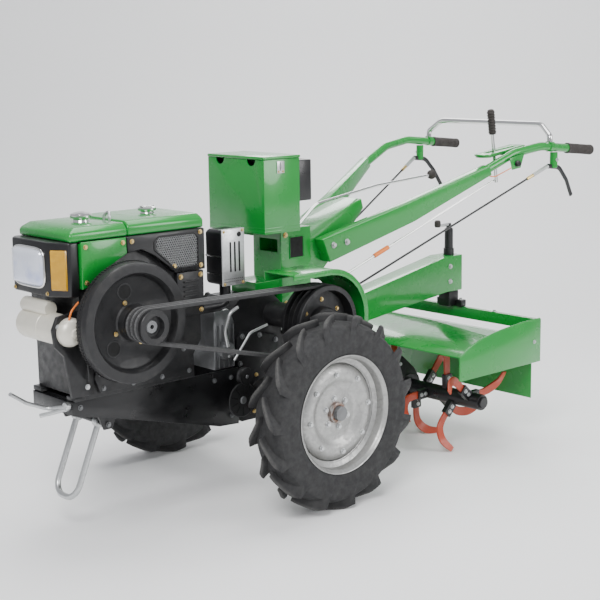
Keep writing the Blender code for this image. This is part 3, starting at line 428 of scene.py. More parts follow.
def tubeShape(shape, path, radius, sides=20, flat=1.0):
    rings = []
    first = (path[1] - path[0]).normalized()
    normal = Vector((0, 0, 1)) if abs(first.z) < 0.9 else Vector((1, 0, 0))
    for i, point in enumerate(path):
        ahead = path[min(i + 1, len(path) - 1)] - point
        behind = point - path[max(i - 1, 0)]
        along = (ahead.normalized() + behind.normalized()).normalized()
        normal = (normal - along * normal.dot(along)).normalized()
        side = along.cross(normal)
        rings.append([
            shape.verts.new(point + (
                normal * math.cos(2 * math.pi * k / sides) + side * math.sin(2 * math.pi * k / sides) * flat
            ) * radius) for k in range(sides)
        ])
    skin(shape, rings)


def tube(name, points, radius, material, body=root, bend=0.04, sides=20, flat=1.0):
    shape = bmesh.new()
    tubeShape(shape, curvePath(points, bend), radius, sides, flat)
    return place(name, shape, material, body)


# A tube along the points as given, with no bend added
def roll(name, path, radius, material, slot=None):
    shape = bmesh.new()
    tubeShape(shape, path, radius, 12)
    return place(name, shape, material, root)


# Straight rods round an outline at one y
def rodLoop(name, outline, y, radius, material):
    shape = bmesh.new()
    loop = [Vector(p) for p in onSide(y, outline)]
    for a, b in zip(loop, loop[1:] + loop[:1]):
        tubeShape(shape, [a, (a + b) / 2, b], radius, 10)
    return place(name, shape, material, root)


def onSide(y, outline):
    return [(x, y, z) for x, z in outline]


def plateShape(shape, outline, y0, y1):
    near = [shape.verts.new((x, y0, z)) for x, z in outline]
    far = [shape.verts.new((x, y1, z)) for x, z in outline]
    skin(shape, [near, far])


def plate(name, outline, y0, y1, material, body=root, bevel=0.0015):
    shape = bmesh.new()
    plateShape(shape, outline, y0, y1)
    return place(name, shape, material, body, bevel=bevel)


# Repeats with Geometry Nodes

def makeRepeater():
    group = bpy.data.node_groups.new("repeatOnPoints", "GeometryNodeTree")
    face = group.interface
    face.new_socket("Points", in_out="INPUT", socket_type="NodeSocketGeometry")
    face.new_socket("Item", in_out="INPUT", socket_type="NodeSocketObject")
    face.new_socket("Finish", in_out="INPUT", socket_type="NodeSocketMaterial")
    face.new_socket("Result", in_out="OUTPUT", socket_type="NodeSocketGeometry")
    nodes, links = group.nodes, group.links
    enter, leave = nodes.new("NodeGroupInput"), nodes.new("NodeGroupOutput")
    info = nodes.new("GeometryNodeObjectInfo")
    turn = nodes.new("GeometryNodeInputNamedAttribute")
    turn.data_type = "FLOAT_VECTOR"
    turn.inputs["Name"].default_value = "turn"
    grow = nodes.new("GeometryNodeInputNamedAttribute")
    grow.data_type = "FLOAT"
    grow.inputs["Name"].default_value = "grow"
    spin = nodes.new("FunctionNodeEulerToRotation")
    copies = nodes.new("GeometryNodeInstanceOnPoints")
    real = nodes.new("GeometryNodeRealizeInstances")
    finish = nodes.new("GeometryNodeSetMaterial")
    links.new(enter.outputs["Points"], copies.inputs["Points"])
    links.new(enter.outputs["Item"], info.inputs["Object"])
    links.new(info.outputs["Geometry"], copies.inputs["Instance"])
    links.new([s for s in turn.outputs if s.enabled][0], spin.inputs[0])
    links.new(spin.outputs[0], copies.inputs["Rotation"])
    links.new([s for s in grow.outputs if s.enabled][0], copies.inputs["Scale"])
    links.new(copies.outputs[0], real.inputs[0])
    links.new(real.outputs[0], finish.inputs["Geometry"])
    links.new(enter.outputs["Finish"], finish.inputs["Material"])
    links.new(finish.outputs[0], leave.inputs["Result"])
    return group


repeater = makeRepeater()
socketId = {s.name: s.identifier for s in repeater.interface.items_tree if s.in_out == "INPUT"}


# spots: (position from the axle, euler turn, scale)
def repeat(name, itemShape, spots, material, body=root, angle=32):
    bmesh.ops.recalc_face_normals(itemShape, faces=itemShape.faces)
    item = linked(name + "Item", meshOf(name + "Item", itemShape))
    mesh = bpy.data.meshes.new(name)
    mesh.from_pydata([(p[0] + axleX, p[1], p[2]) for p, t, s in spots], [], [])
    mesh.attributes.new("turn", "FLOAT_VECTOR", "POINT").data.foreach_set(
        "vector", [v for p, t, s in spots for v in t])
    mesh.attributes.new("grow", "FLOAT", "POINT").data.foreach_set("value", [s for p, t, s in spots])
    piece = linked(name, mesh)
    modifier = piece.modifiers.new("repeat", "NODES")
    modifier.node_group = repeater
    modifier[socketId["Item"]] = item
    modifier[socketId["Finish"]] = material
    bake(piece)
    bpy.data.objects.remove(item, do_unlink=True)
    piece.data.name = name
    return settle(piece, body, angle)


def hexBolt():
    shape = bmesh.new()
    lathe(shape, [(0, 0), (0, 1.15), (0.12, 1.2), (0.22, 1.15), (0.22, 0)], (0, 0, 0), segments=20,
          closed=False)
    corners = [math.pi * k / 3 for k in range(6)]
    skin(shape, [[shape.verts.new((size * math.sin(a), along, size * math.cos(a))) for a in corners]
                 for along, size in ((0.2, 0.86), (0.78, 0.86), (0.9, 0.74))])
    return shape


outward = {1: "+Y", -1: "-Y"}
turnTo = {"+Y": (0, 0, 0), "-Y": (0, 0, math.pi), "+Z": (math.pi / 2, 0, 0), "+X": (0, 0, -math.pi / 2)}


def bolts(name, spots, facing, size, material=zinc, body=root):
    return repeat(name, hexBolt(), [(p, turnTo[facing], size) for p in spots], material, body)


# Full turns about Y of an item made at its own radius
def ringSpots(centre, count, shift=0.0):
    return [(centre, (0, 2 * math.pi * (k + shift) / count, 0), 1.0) for k in range(count)]


def circleSpots(x, y, z, radius, count, first=0.0):
    return [(x + radius * math.sin(first + 2 * math.pi * k / count), y,
             z + radius * math.cos(first + 2 * math.pi * k / count))
            for k in range(count)]


# Wheels

tyre = {"radius": 0.2945, "carcass": 0.273, "lugs": 15, "sweep": 0.30, "lugWidth": 0.019, "sipes": 40}


def carcass(y):
    return tyre["carcass"] - 0.020 * min(1.0, abs(y) / 0.0585) ** 3.2


def lugShape(side):
    shape = bmesh.new()
    rings = []
    for i in range(9):
        t = i / 8
        y = side * (0.003 + 0.0555 * t)
        turn = tyre["sweep"] * (t ** 0.85)
        top = tyre["radius"] - 0.010 * max(0.0, t - 0.72) / 0.28
        low = carcass(y) - 0.004
        wide = tyre["lugWidth"] * (0.80 + 0.35 * t) / 2
        ring = []
        for across, radius in ((-1.25, low), (-0.85, top - 0.0015), (-0.65, top), (0.65, top),
                               (0.85, top - 0.0015), (1.25, low)):
            angle = turn + across * wide / 0.29
            ring.append(shape.verts.new((radius * math.sin(angle), y, radius * math.cos(angle))))
        rings.append(ring)
    # the lug ends down the shoulder
    ring = []
    for across, radius in ((-1.2, 0.236), (-0.8, 0.238), (-0.6, 0.239), (0.6, 0.239), (0.8, 0.238),
                           (1.2, 0.236)):
        angle = tyre["sweep"] + 0.02 + across * tyre["lugWidth"] * 0.55 / 0.25
        ring.append(shape.verts.new((radius * math.sin(angle), side * 0.0592, radius * math.cos(angle))))
    rings.append(ring)
    skin(shape, rings)
    return shape


def ribShape(side):
    shape = bmesh.new()
    for radius in (0.2035, 0.2105, 0.2175):
        made = boxShape(shape, -0.0045, 0.0045, side * 0.0575, side * 0.0594, radius - 0.0014, radius + 0.0014)
        bmesh.ops.rotate(shape, verts=made, cent=(0, side * 0.058, radius), matrix=Matrix.Rotation(0.5, 3, "Y"))
    return shape


rim = {"lip": 0.1795, "outerBolts": 8, "innerBolts": 6, "boltSize": 0.0075, "hubBoltSize": 0.0085}


def makeWheel(sideName, side):
    body = sideName + "_wheel"
    centre = Vector((0, side * wheelY, wheelZ))
    crown = [(y, carcass(y)) for y in (-0.056 + 0.112 * i / 32 for i in range(33))]
    wall = [(0.0585, 0.246), (0.0592, 0.232), (0.0586, 0.224), (0.0592, 0.221), (0.0592, 0.200),
            (0.0586, 0.197), (0.0578, 0.188), (0.0545, 0.181), (0.0500, 0.1745), (0.0470, 0.1715)]
    profile = crown + wall + [(-y, r) for y, r in reversed(wall)]
    skin = turned(sideName + "TyreCarcass", profile, centre, tyreRubber, body, segments=96)
    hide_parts(sideName + "_tyre")
    faceName = {side: "Out", -side: "In"}
    for half, shift in ((1, 0.0), (-1, 0.5)):
        spots = ringSpots(centre, tyre["lugs"], shift)
        repeat(f"{sideName}TyreLugs{faceName[half]}", lugShape(half), spots, tyreRubber, body,
               40)
    for half in (1, -1):
        spots = ringSpots(centre, tyre["sipes"])
        repeat(f"{sideName}TyreSipes{faceName[half]}", ribShape(half), spots, tyreRubber, body)
    lip = rim["lip"]
    half = [(0.0578, lip - 0.002), (0.0560, lip), (0.0535, lip - 0.001), (0.0505, 0.1725), (0.0460, 0.1700),
            (0.0240, 0.1680), (0.0160, 0.1520)]
    inner = [(0.0120, 0.1490), (0.0200, 0.1650), (0.0450, 0.1668), (0.0500, 0.1690), (0.0535, 0.1735),
             (0.0568, lip - 0.004)]
    profile = half + [(-y, r) for y, r in reversed(half)] + [(-y, r) for y, r in reversed(inner)] + inner
    barrel = turned(sideName + "RimBarrel", profile, centre, rimSteel, body, segments=96)
    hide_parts(sideName + "_rim")
    face = [(0.006, 0.151), (0.018, 0.142), (0.028, 0.126), (0.030, 0.112), (0.024, 0.098), (0.013, 0.086),
            (0.0115, 0.072), (0.0150, 0.064), (0.0150, 0.026)]
    disc = [(side * y, r) for y, r in face] + [(side * (y - 0.004), r) for y, r in reversed(face)]
    turned(sideName + "RimDisc", disc, centre, rimSteel, body, segments=96, angle=50)
    axle = rounded(sideName + "_axle", castGrey, 0.0012)
    ring = [(side * 0.0155, 0.026), (side * 0.0155, 0.032), (side * 0.024, 0.031), (side * 0.026, 0.028),
            (side * 0.026, 0.023)]
    turned(sideName + "HubRing", ring, centre, rimSteel, body, segments=48)
    facing = outward[side]
    spots = circleSpots(0, side * (wheelY + 0.0150), wheelZ, 0.046, rim["innerBolts"], 0.2)
    bolts(sideName + "HubBolts", spots, facing, rim["hubBoltSize"], galvanised, body)
    spots = circleSpots(0, side * (wheelY + 0.0300), wheelZ, 0.119, rim["outerBolts"], 0.1)
    bolts(sideName + "DiscBolts", spots, facing, rim["boltSize"], galvanised, body)
    rounded(sideName + "_axle_housing", castBlack, 0.002)
    spots = circleSpots(0, side * (0.0873 + 0.0005), wheelZ, 0.063, 8, 0.3)
    bolts(sideName + "HousingBolts", spots, facing, 0.006, zinc)


for sideName, side in sides:
    makeWheel(sideName, side)
print("wheels made")

# Flywheel, pulleys and belts

crankCentre = Vector((0.578, 0, 0.624))
clutchCentre = Vector((-0.066, 0, 0.538))
beltInner, beltOuter = 0.2503, 0.3323  # both pulleys lie between these
crankRadius, clutchRadius = 0.048, 0.120
flywheel = {"radius": 0.1685, "teeth": 112, "toothTip": 0.1709, "wells": (75, 195, 315)}


def toothShape():
    shape = bmesh.new()
    boxShape(shape, -0.0016, 0.0016, 0.0, 0.011, flywheel["radius"] - 0.003, flywheel["toothTip"])
    return shape


def makeFlywheel():
    centre = crankCentre
    y0, y1, radius = 0.205, 0.250, flywheel["radius"]
    profile = [
        (0.130, 0), (0.130, 0.020), (y0 - 0.006, 0.020), (y0 - 0.006, 0.045), (y0 + 0.008, 0.046),
        (y0 + 0.008, 0.122), (y0, 0.130), (y0, radius - 0.002), (y0 + 0.002, radius), (y0 + 0.016, radius),
        (y0 + 0.0175, radius - 0.003), (y0 + 0.021, radius - 0.003), (y0 + 0.022, radius), (y1 - 0.005, radius),
        (y1 - 0.001, radius - 0.002), (y1, radius - 0.006), (y1, 0.140), (y1 - 0.002, 0.137),
        (y0 + 0.026, 0.129), (y0 + 0.023, 0.124), (y0 + 0.022, 0.056), (y0 + 0.026, 0.051), (y1 - 0.002, 0.047),
        (y1 - 0.0003, 0.044), (y1 - 0.0003, 0),
    ]
    wheel = turned("flywheelDisc", profile, centre, castBlack, "flywheel", segments=112,
                   closed=False)
    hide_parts("flywheel")
    for angle in flywheel["wells"]:
        x = centre.x + 0.092 * math.cos(math.radians(angle))
        z = centre.z + 0.092 * math.sin(math.radians(angle))
        # painted shade: a near-black disc at the bottom of each well stands for the shade in it
        turned(f"flywheelWell{angle}", [(y0 + 0.0223, 0), (y0 + 0.0223, 0.020), (y0 + 0.0228, 0.020),
               (y0 + 0.0228, 0)], (x, 0, z), holeShade, "flywheel", segments=32, closed=False)
        turned(f"flywheelRing{angle}", [(y0 + 0.0222, 0.020), (y0 + 0.0240, 0.020), (y0 + 0.0240, 0.0235),
               (y0 + 0.0222, 0.0245)], (x, 0, z), castBlack, "flywheel", segments=32)
    spots = ringSpots(centre + Vector((0, y0 + 0.003, 0)), flywheel["teeth"])
    repeat("ringGearTeeth", toothShape(), spots, castBlack, "flywheel")
    spots = circleSpots(centre.x, y0 + 0.0235, centre.z, 0.062, 4, 0.4)
    bolts("flywheelBolts", spots, "+Y", 0.006, zinc, "flywheel")


def grooved(radius, bore):
    y0, y1 = beltInner, beltOuter
    top = [(y0, bore), (y0, radius - 0.002), (y0 + 0.002, radius)]
    middle = (y0 + y1) / 2
    for k in range(belts["count"]):
        y = middle + (k - (belts["count"] - 1) / 2) * belts["pitch"]
        top += [(y - 0.0085, radius), (y - 0.0055, radius - 0.011), (y + 0.0055, radius - 0.011),
                (y + 0.0085, radius)]
    return top + [(y1 - 0.002, radius), (y1, radius - 0.002)]


def makePulleys():
    profile = grooved(crankRadius, 0.020) + [(beltOuter, 0.031), (0.318, 0.029), (0.318, 0.020)]
    crank = turned("crankPulleyBody", profile, crankCentre, castBlack, "flywheel", segments=72)
    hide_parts("crank_pulley")
    turned("crankShaftEnd", [(0.251, 0), (0.251, 0.0195), (0.316, 0.0195), (0.318, 0.017), (0.318, 0.006),
           (0.306, 0.004), (0.306, 0)], crankCentre, castGrey, "flywheel", segments=40,
           closed=False)
    centre, y0, y1 = clutchCentre, beltInner, beltOuter
    profile = grooved(clutchRadius, 0.105) + [
        (y1, 0.104), (y1 - 0.030, 0.098), (y1 - 0.032, 0.052), (y1 - 0.008, 0.050), (y1 - 0.004, 0.046),
        (y1 - 0.004, 0.034), (y1 - 0.010, 0.030), (y1 - 0.010, 0),
    ]
    clutch = turned("clutchPulleyBody", [(0.125, 0), (0.125, 0.012), (y0 - 0.020, 0.012), (y0 - 0.020, 0.034),
                    (y0 + 0.030, 0.038), (y0 + 0.030, 0.104)] + profile, centre, castBlack, "clutch_pulley",
                    segments=96, closed=False)
    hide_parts("clutch_pulley")
    bolts("clutchPulleyBolts", circleSpots(centre.x, y1 - 0.0315, centre.z, 0.074, 6), "+Y", 0.006, zinc,
          "clutch_pulley")
    corner = [(centre.x + 0.026 * math.sin(a), centre.z + 0.026 * math.cos(a)) for a in (0.4, 2.5, 4.6)]
    plate("clutchRedPlate", corner, y1 - 0.0098, y1 - 0.006, tinePaint, "clutch_pulley", 0.001)
    bolts("clutchHubBolt", [(centre.x, y1 - 0.006, centre.z)], "+Y", 0.008, zinc, "clutch_pulley")


def makeBelts():
    crank, clutch = crankCentre.xz, clutchCentre.xz
    middle = (beltInner + beltOuter) / 2
    big, small = clutchRadius, crankRadius
    span = clutch - crank

    def outline(extra):
        small2, big2 = small + extra, big + extra
        along = math.atan2(span.y, span.x)
        lean = math.acos((small2 - big2) / span.length)
        points = []
        for i in range(37):
            a = along + lean + (2 * math.pi - 2 * lean) * i / 36
            points.append((crank.x + small2 * math.cos(a), crank.y + small2 * math.sin(a)))
        for i in range(41):
            a = along - lean + 2 * lean * i / 40
            points.append((clutch.x + big2 * math.cos(a), clutch.y + big2 * math.sin(a)))
        return points

    high, low = outline(0.0012), outline(0.0012 - belts["height"])
    for k in range(belts["count"]):
        y = middle + (k - (belts["count"] - 1) / 2) * belts["pitch"]
        wide, thin = belts["topWidth"] / 2, belts["topWidth"] / 2 - 0.003
        shape = bmesh.new()
        rings = [[shape.verts.new((x, y + s, z)) for x, z in run]
                 for run, s in ((low, -thin), (high, -wide), (high, wide), (low, thin))]
        for r in range(4):
            near, far = rings[r], rings[(r + 1) % 4]
            for i in range(len(near)):
                j = (i + 1) % len(near)
                shape.faces.new((near[i], near[j], far[j], far[i]))
        piece = place(f"vBelt{k}", shape, beltRubber, root, bevel=0.0008, segments=1)
        if k == 0:
            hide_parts("drive_belts")


makeFlywheel()
makePulleys()
makeBelts()
rounded("belt_cover", green, 0.0015)
rimPath = [Vector((0.084, 0.3435, 0.705))] + [
    Vector((-0.066 + 0.155 * math.cos(math.radians(a)), 0.3435, 0.550 + 0.155 * math.sin(math.radians(a))))
    for a in range(90, 206, 5)]
roll("beltCoverRoll", rimPath, 0.0030, green, "green_paint")
bolts("beltCoverBolts", [(0.060, 0.2119, 0.690), (-0.066, 0.2119, 0.690), (-0.19, 0.2119, 0.600)], "-Y", 0.006)
print("belt drive made")

# Engine and frame

def makeEngine():
    for node, finish, bevel, segments in (
            ("engine_block", castBlack, 0.003, 2), ("fuel_tank", green, 0.006, 4),
            ("radiator_cover", green, 0.006, 4), ("side_panel", green, 0.0025, 2),
            ("grille_panel", black, 0.0025, 2)):
        rounded(node, finish, bevel, segments)
    # caps
    for node, x, y, z in (("fuel_cap", 0.612, 0.045, 0.8903), ("radiator_cap", 0.382, 0.040, 0.8943)):
        low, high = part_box(node)
        size = (high.x - low.x) / 2
        tall = high.z - low.z
        profile = [(z + 0.0003, 0), (z + 0.0003, size * 0.80), (z + tall * 0.22, size * 0.72),
                   (z + tall * 0.32, size * 0.74), (z + tall * 0.40, size * 0.97), (z + tall * 0.48, size),
                   (z + tall * 0.70, size), (z + tall * 0.80, size * 0.94), (z + tall * 0.92, size * 0.62),
                   (z + tall * 0.99, size * 0.25), (z + tall * 0.995, 0)]
        cap = turned(node + "Top", profile, (x, y, 0), chrome, root, "Z", 56, False)
        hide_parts(node)
    box("radiatorCapLever", (0.360, 0.404, 0.034, 0.046, 0.9135, 0.9165), chrome, bevel=0.001)
    tube("liftEye", [(0.537, 0.075, 0.888), (0.537, 0.075, 0.902), (0.530, 0.062, 0.915), (0.537, 0.048, 0.902),
         (0.537, 0.048, 0.888)], 0.0045, galvanised, bend=0.014, sides=14)
    # band and bolts under the cover
    box("coverBand", (0.276, 0.697, 0.1502, 0.1660, 0.8455, 0.8518), black, bevel=0.001)
    spots = onSide(0.1722, ((0.292, 0.842), (0.532, 0.838), (0.562, 0.838), (0.684, 0.838), (0.684, 0.740),
                            (0.292, 0.745), (0.388, 0.752)))
    bolts("panelBolts", spots, "+Y", 0.006)
    # lower castings on the flywheel side
    plate("timingCover", [(0.325, 0.425), (0.650, 0.425), (0.668, 0.470), (0.640, 0.540), (0.600, 0.560),
          (0.420, 0.560), (0.345, 0.520)], 0.1502, 0.166, castBlack)
    spots = onSide(0.1662, ((0.342, 0.438), (0.440, 0.436), (0.540, 0.436), (0.640, 0.438), (0.650, 0.480),
                            (0.360, 0.505)))
    bolts("timingBolts", spots, "+Y", 0.0065, castGrey)
    plate("headCover", [(0.276, 0.600), (0.276, 0.728), (0.372, 0.728), (0.372, 0.600)], 0.1502, 0.163,
          castBlack)
    bolts("headBolts", [(x, 0.1632, z) for x in (0.288, 0.360) for z in (0.612, 0.716)], "+Y", 0.0065)
    for k in range(6):
        box(f"sideFin{k}", (0.300, 0.350, 0.163, 0.169, 0.628 + 0.014 * k, 0.632 + 0.014 * k), castBlack,
            bevel=0.0006)
    tube("fuelPipe",
         [(0.700, 0.120, 0.700), (0.668, 0.176, 0.690), (0.700, 0.178, 0.600), (0.690, 0.170, 0.470)], 0.003,
         black, bend=0.02, sides=10)
    tube("orangeStrap",
         [(0.712, 0.168, 0.690), (0.742, 0.180, 0.672), (0.752, 0.176, 0.640), (0.726, 0.170, 0.630)], 0.0028,
         orange, bend=0.015, sides=10)


def holeDisc(radius):
    shape = bmesh.new()
    lathe(shape, [(0, 0), (0, radius), (0.0004, radius), (0.0004, 0)], (0, 0, 0), segments=12, closed=False)
    return shape


grille = {"pitch": 0.0075, "hole": 0.0025, "rows": 14, "columns": 21}


def makeGrille():
    y = 0.1722
    outline = [(0.300, 0.755), (0.300, 0.828), (0.316, 0.842), (0.440, 0.842), (0.456, 0.828), (0.456, 0.806),
               (0.410, 0.767), (0.388, 0.745), (0.312, 0.745)]
    rodLoop("grilleFrame", outline, y, 0.0024, black)
    spots = []
    step = grille["pitch"]
    for row in range(grille["rows"]):
        z = 0.750 + row * step * 0.866
        for col in range(grille["columns"]):
            x = 0.306 + col * step + (step / 2 if row % 2 else 0)
            limit = 0.388 + (z - 0.745) * 1.09 if z < 0.806 else 0.452
            if x < limit - 0.004 and z < 0.838:
                spots.append(((x, y - 0.0001, z), (0, 0, 0), 1.0))
    # painted shade: near-black discs in the grille holes stand for the shade behind the panel
    repeat("grilleHoles", holeDisc(grille["hole"]), spots, holeShade)
    shape = bmesh.new()
    hole = grille["hole"]
    lathe(shape, [(0, hole), (0.0006, hole + 0.0002), (0.0002, hole + 0.0009)], (0, 0, 0), segments=12)
    repeat("grilleHoleEdges", shape, spots, galvanised)


lamp = {"bulge": 0.016, "bezel": 0.004}


def makeLamp():
    rounded("headlight_housing", black, 0.006, 4)
    shape = bmesh.new()
    rows, cols = 15, 19
    grid = []
    for i in range(rows):
        v = -1 + 2 * i / (rows - 1)
        line = []
        for j in range(cols):
            u = -1 + 2 * j / (cols - 1)
            squeeze = 1 / max(1.0, (abs(u) ** 5 + abs(v) ** 5) ** 0.2)
            uu, vv = u * squeeze, v * squeeze
            edge = max(0.0, 1 - max(abs(u), abs(v)) ** 4)
            depth = 0.7635 + lamp["bulge"] * (0.25 * min(1, edge * 8) + 0.75 * edge ** 0.5)
            line.append(shape.verts.new((depth, 0.010 + uu * 0.078, 0.779 + vv * 0.052)))
        grid.append(line)
    for i in range(rows - 1):
        for j in range(cols - 1):
            shape.faces.new((grid[i][j], grid[i][j + 1], grid[i + 1][j + 1], grid[i + 1][j]))
    bmesh.ops.solidify(shape, geom=shape.faces[:], thickness=0.0012)
    lens = place("headlightGlass", shape, lampGlass, root, 60)
    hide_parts("headlight_lens")
    loop = []
    for k in range(49):
        a = 2 * math.pi * k / 48
        c, s = math.cos(a), math.sin(a)
        loop.append(Vector((0.7645, 0.010 + 0.080 * math.copysign(abs(c) ** 0.42, c),
                            0.779 + 0.054 * math.copysign(abs(s) ** 0.42, s))))
    roll("lampBezel", loop, lamp["bezel"], chrome, "chrome")
    # amber lens on the slanted corner
    shape = bmesh.new()
    a, b = Vector((0.7585, 0.113, 0)), Vector((0.7330, 0.1535, 0))
    out = Vector((b.y - a.y, a.x - b.x, 0)).normalized()
    rings = []
    for z in (0.722, 0.726, 0.828, 0.832):
        deep = 0.0055 if 0.724 < z < 0.830 else 0.0015
        rings.append([shape.verts.new(p + Vector((0, 0, z))) for p in
                      (a, a + out * deep + (b - a) * 0.05, b + out * deep - (b - a) * 0.05, b)])
    skin(shape, rings)
    place("sideLens", shape, amber, root)
    bolts("lampBolts", [(0.7625, 0.098, 0.712), (0.7625, -0.070, 0.712)], "+X", 0.005)


def makeStarter():
    rounded("starter_bracket", castBlack, 0.002)
    centre = Vector((0.7413, 0, 0.612))
    profile = [
        (-0.050, 0), (-0.050, 0.034), (-0.045, 0.0415), (-0.038, 0.043), (0.060, 0.043), (0.061, 0.0418),
        (0.066, 0.0418), (0.067, 0.043), (0.1497, 0.043), (0.1500, 0.033), (0.1623, 0.033), (0.1623, 0.040),
        (0.166, 0.0405), (0.176, 0.0385), (0.184, 0.033), (0.190, 0.025), (0.1925, 0.013), (0.1985, 0.011),
        (0.199, 0.008), (0.199, 0),
    ]
    motor = turned("starterBody", profile, centre, cream, root, closed=False)
    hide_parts("starter_motor")
    profile = [(-0.045, 0), (-0.045, 0.019), (-0.040, 0.022), (0.080, 0.022), (0.085, 0.019), (0.085, 0)]
    turned("starterSwitch", profile, (0.7473, 0, 0.666), cream, root, closed=False,
           segments=40)
    bolts("starterBolts",
          [(0.690, 0.1622, 0.640), (0.775, 0.1622, 0.630), (0.700, 0.1622, 0.560), (0.690, 0.1622, 0.450)],
          "+Y", 0.0065, galvanised)
    bolts("starterNoseBolts",
          [(0.7413 + 0.033 * math.sin(a), 0.164, 0.612 + 0.033 * math.cos(a)) for a in (0.6, 2.7, 4.8)],
          "+Y", 0.004, galvanised)


def makeFrame():
    for node in ("chassis_frame", "left_engine_rail", "right_engine_rail"):
        rounded(node, black, 0.0015)
    spots = onSide(0.1052, ((0.135, 0.370), (0.135, 0.300), (0.135, 0.250), (0.200, 0.370), (0.680, 0.378),
                            (0.589, 0.311)))
    bolts("frameBolts", spots, "+Y", 0.007, castGrey)
    bolts("railBolts", [(x, 0.104, 0.4102) for x in (0.320, 0.450, 0.560)], "+Z", 0.0055)
    leverPath = [(0.7155, 0.088, 0.384), (0.742, 0.040, 0.374), (0.800, 0.020, 0.398), (0.864, 0.045, 0.440)]
    lever = tube("standLeverBar", leverPath, 0.0057, galvanised, bend=0.03)
    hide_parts("stand_lever")
    turned("standLeverEye", [(0, 0), (0, 0.012), (0.002, 0.013), (0.0145, 0.013), (0.0165, 0.011), (0.0165, 0)],
           (0.7055, 0.088, 0.384), galvanised, root, "X", 32, False)
    tube("standLeverStub", [(0.7155, 0.088, 0.378), (0.740, 0.060, 0.367), (0.765, 0.030, 0.357)], 0.006,
         galvanised)
    top, foot = Vector((0.589, 0, 0.311)), Vector((0.679, 0, 0.095))
    side = Vector((0, 0.055, 0))
    start = top + (foot - top).normalized() * 0.014
    stand = tube("frontStandLoop", [start + side, foot + side, foot - side, start - side], 0.009, galvanised,
                 "front_stand", 0.045, 24)
    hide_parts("front_stand")
    profile = [(-0.011, 0.0086), (-0.011, 0.016), (-0.009, 0.017), (0.009, 0.017), (0.011, 0.016),
               (0.011, 0.0086)]
    for name, sign in (("Left", 1), ("Right", -1)):
        turned("standSleeve" + name, profile, top + side * sign, galvanised, "front_stand",
               segments=36)


def slotShape(high):
    shape = bmesh.new()
    points = []
    for middle, first in ((high / 2, 0.0), (-high / 2, math.pi)):
        for k in range(13):
            a = first + math.pi * k / 12
            points.append((0.003 * math.cos(a), middle + 0.003 * math.sin(a)))
    plateShape(shape, points, 0, 0.0005)
    return shape


shield = {"slots": 3, "slotHeight": 0.085}


def makeExhaust():
    rounded("muffler", black, 0.006, 3)
    rounded("muffler_shield", galvanised, 0.0018)
    rounded("exhaust_pipe", black, 0.002, 2, 50)
    rounded("air_inlet_pipe", black, 0.002, 2, 50)
    profile = [(0.668, 0), (0.668, 0.046), (0.676, 0.050), (0.690, 0.052), (0.735, 0.052), (0.737, 0.050),
               (0.741, 0.050), (0.743, 0.052), (0.790, 0.052), (0.796, 0.046), (0.806, 0.046), (0.812, 0.058),
               (0.824, 0.058), (0.832, 0.052), (0.836, 0.040), (0.836, 0)]
    cleaner = turned("airCleanerBody", profile, (0.196, -0.060, 0), black, root, "Z", 56, False)
    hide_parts("air_cleaner")
    for z, wide in ((0.752, 0.0045), (0.700, 0.0018)):
        box(f"mufflerBand{int(z * 1000)}", (0.1152, 0.1988, 0.0752, 0.1528, z, z + wide), chrome, bevel=0.0008)
    y = 0.1572
    spots = [((0.134 + 0.017 * k, y, 0.752), (0, 0, 0), 1.0) for k in range(shield["slots"])]
    # painted shade: near-black sheets in the shield's slots and holes stand for the shade behind it
    repeat("shieldSlots", slotShape(shield["slotHeight"]), spots, holeShade)
    repeat("shieldHole", holeDisc(0.008), [((0.134, y, 0.818), (0, 0, 0), 1.0)], holeShade)
    spots = [((0.124 + 0.0075 * i, y, 0.678 + 0.008 * j), (0, 0, 0), 1.0) for i in range(10) for j in range(2)]
    repeat("shieldSmallHoles", holeDisc(0.0016), spots, holeShade)
    bolts("shieldBolts", [(x, y, z) for x in (0.121, 0.192) for z in (0.672, 0.829)], "+Y", 0.004, zinc)
    box("shieldTopEdge", (0.113, 0.200, 0.140, 0.157, 0.8345, 0.8358), galvanised, bevel=0.0005)


for makePart in (makeEngine, makeGrille, makeLamp, makeStarter, makeFrame, makeExhaust):
    makePart()
print("engine and frame made")

# Gearbox and toolbox

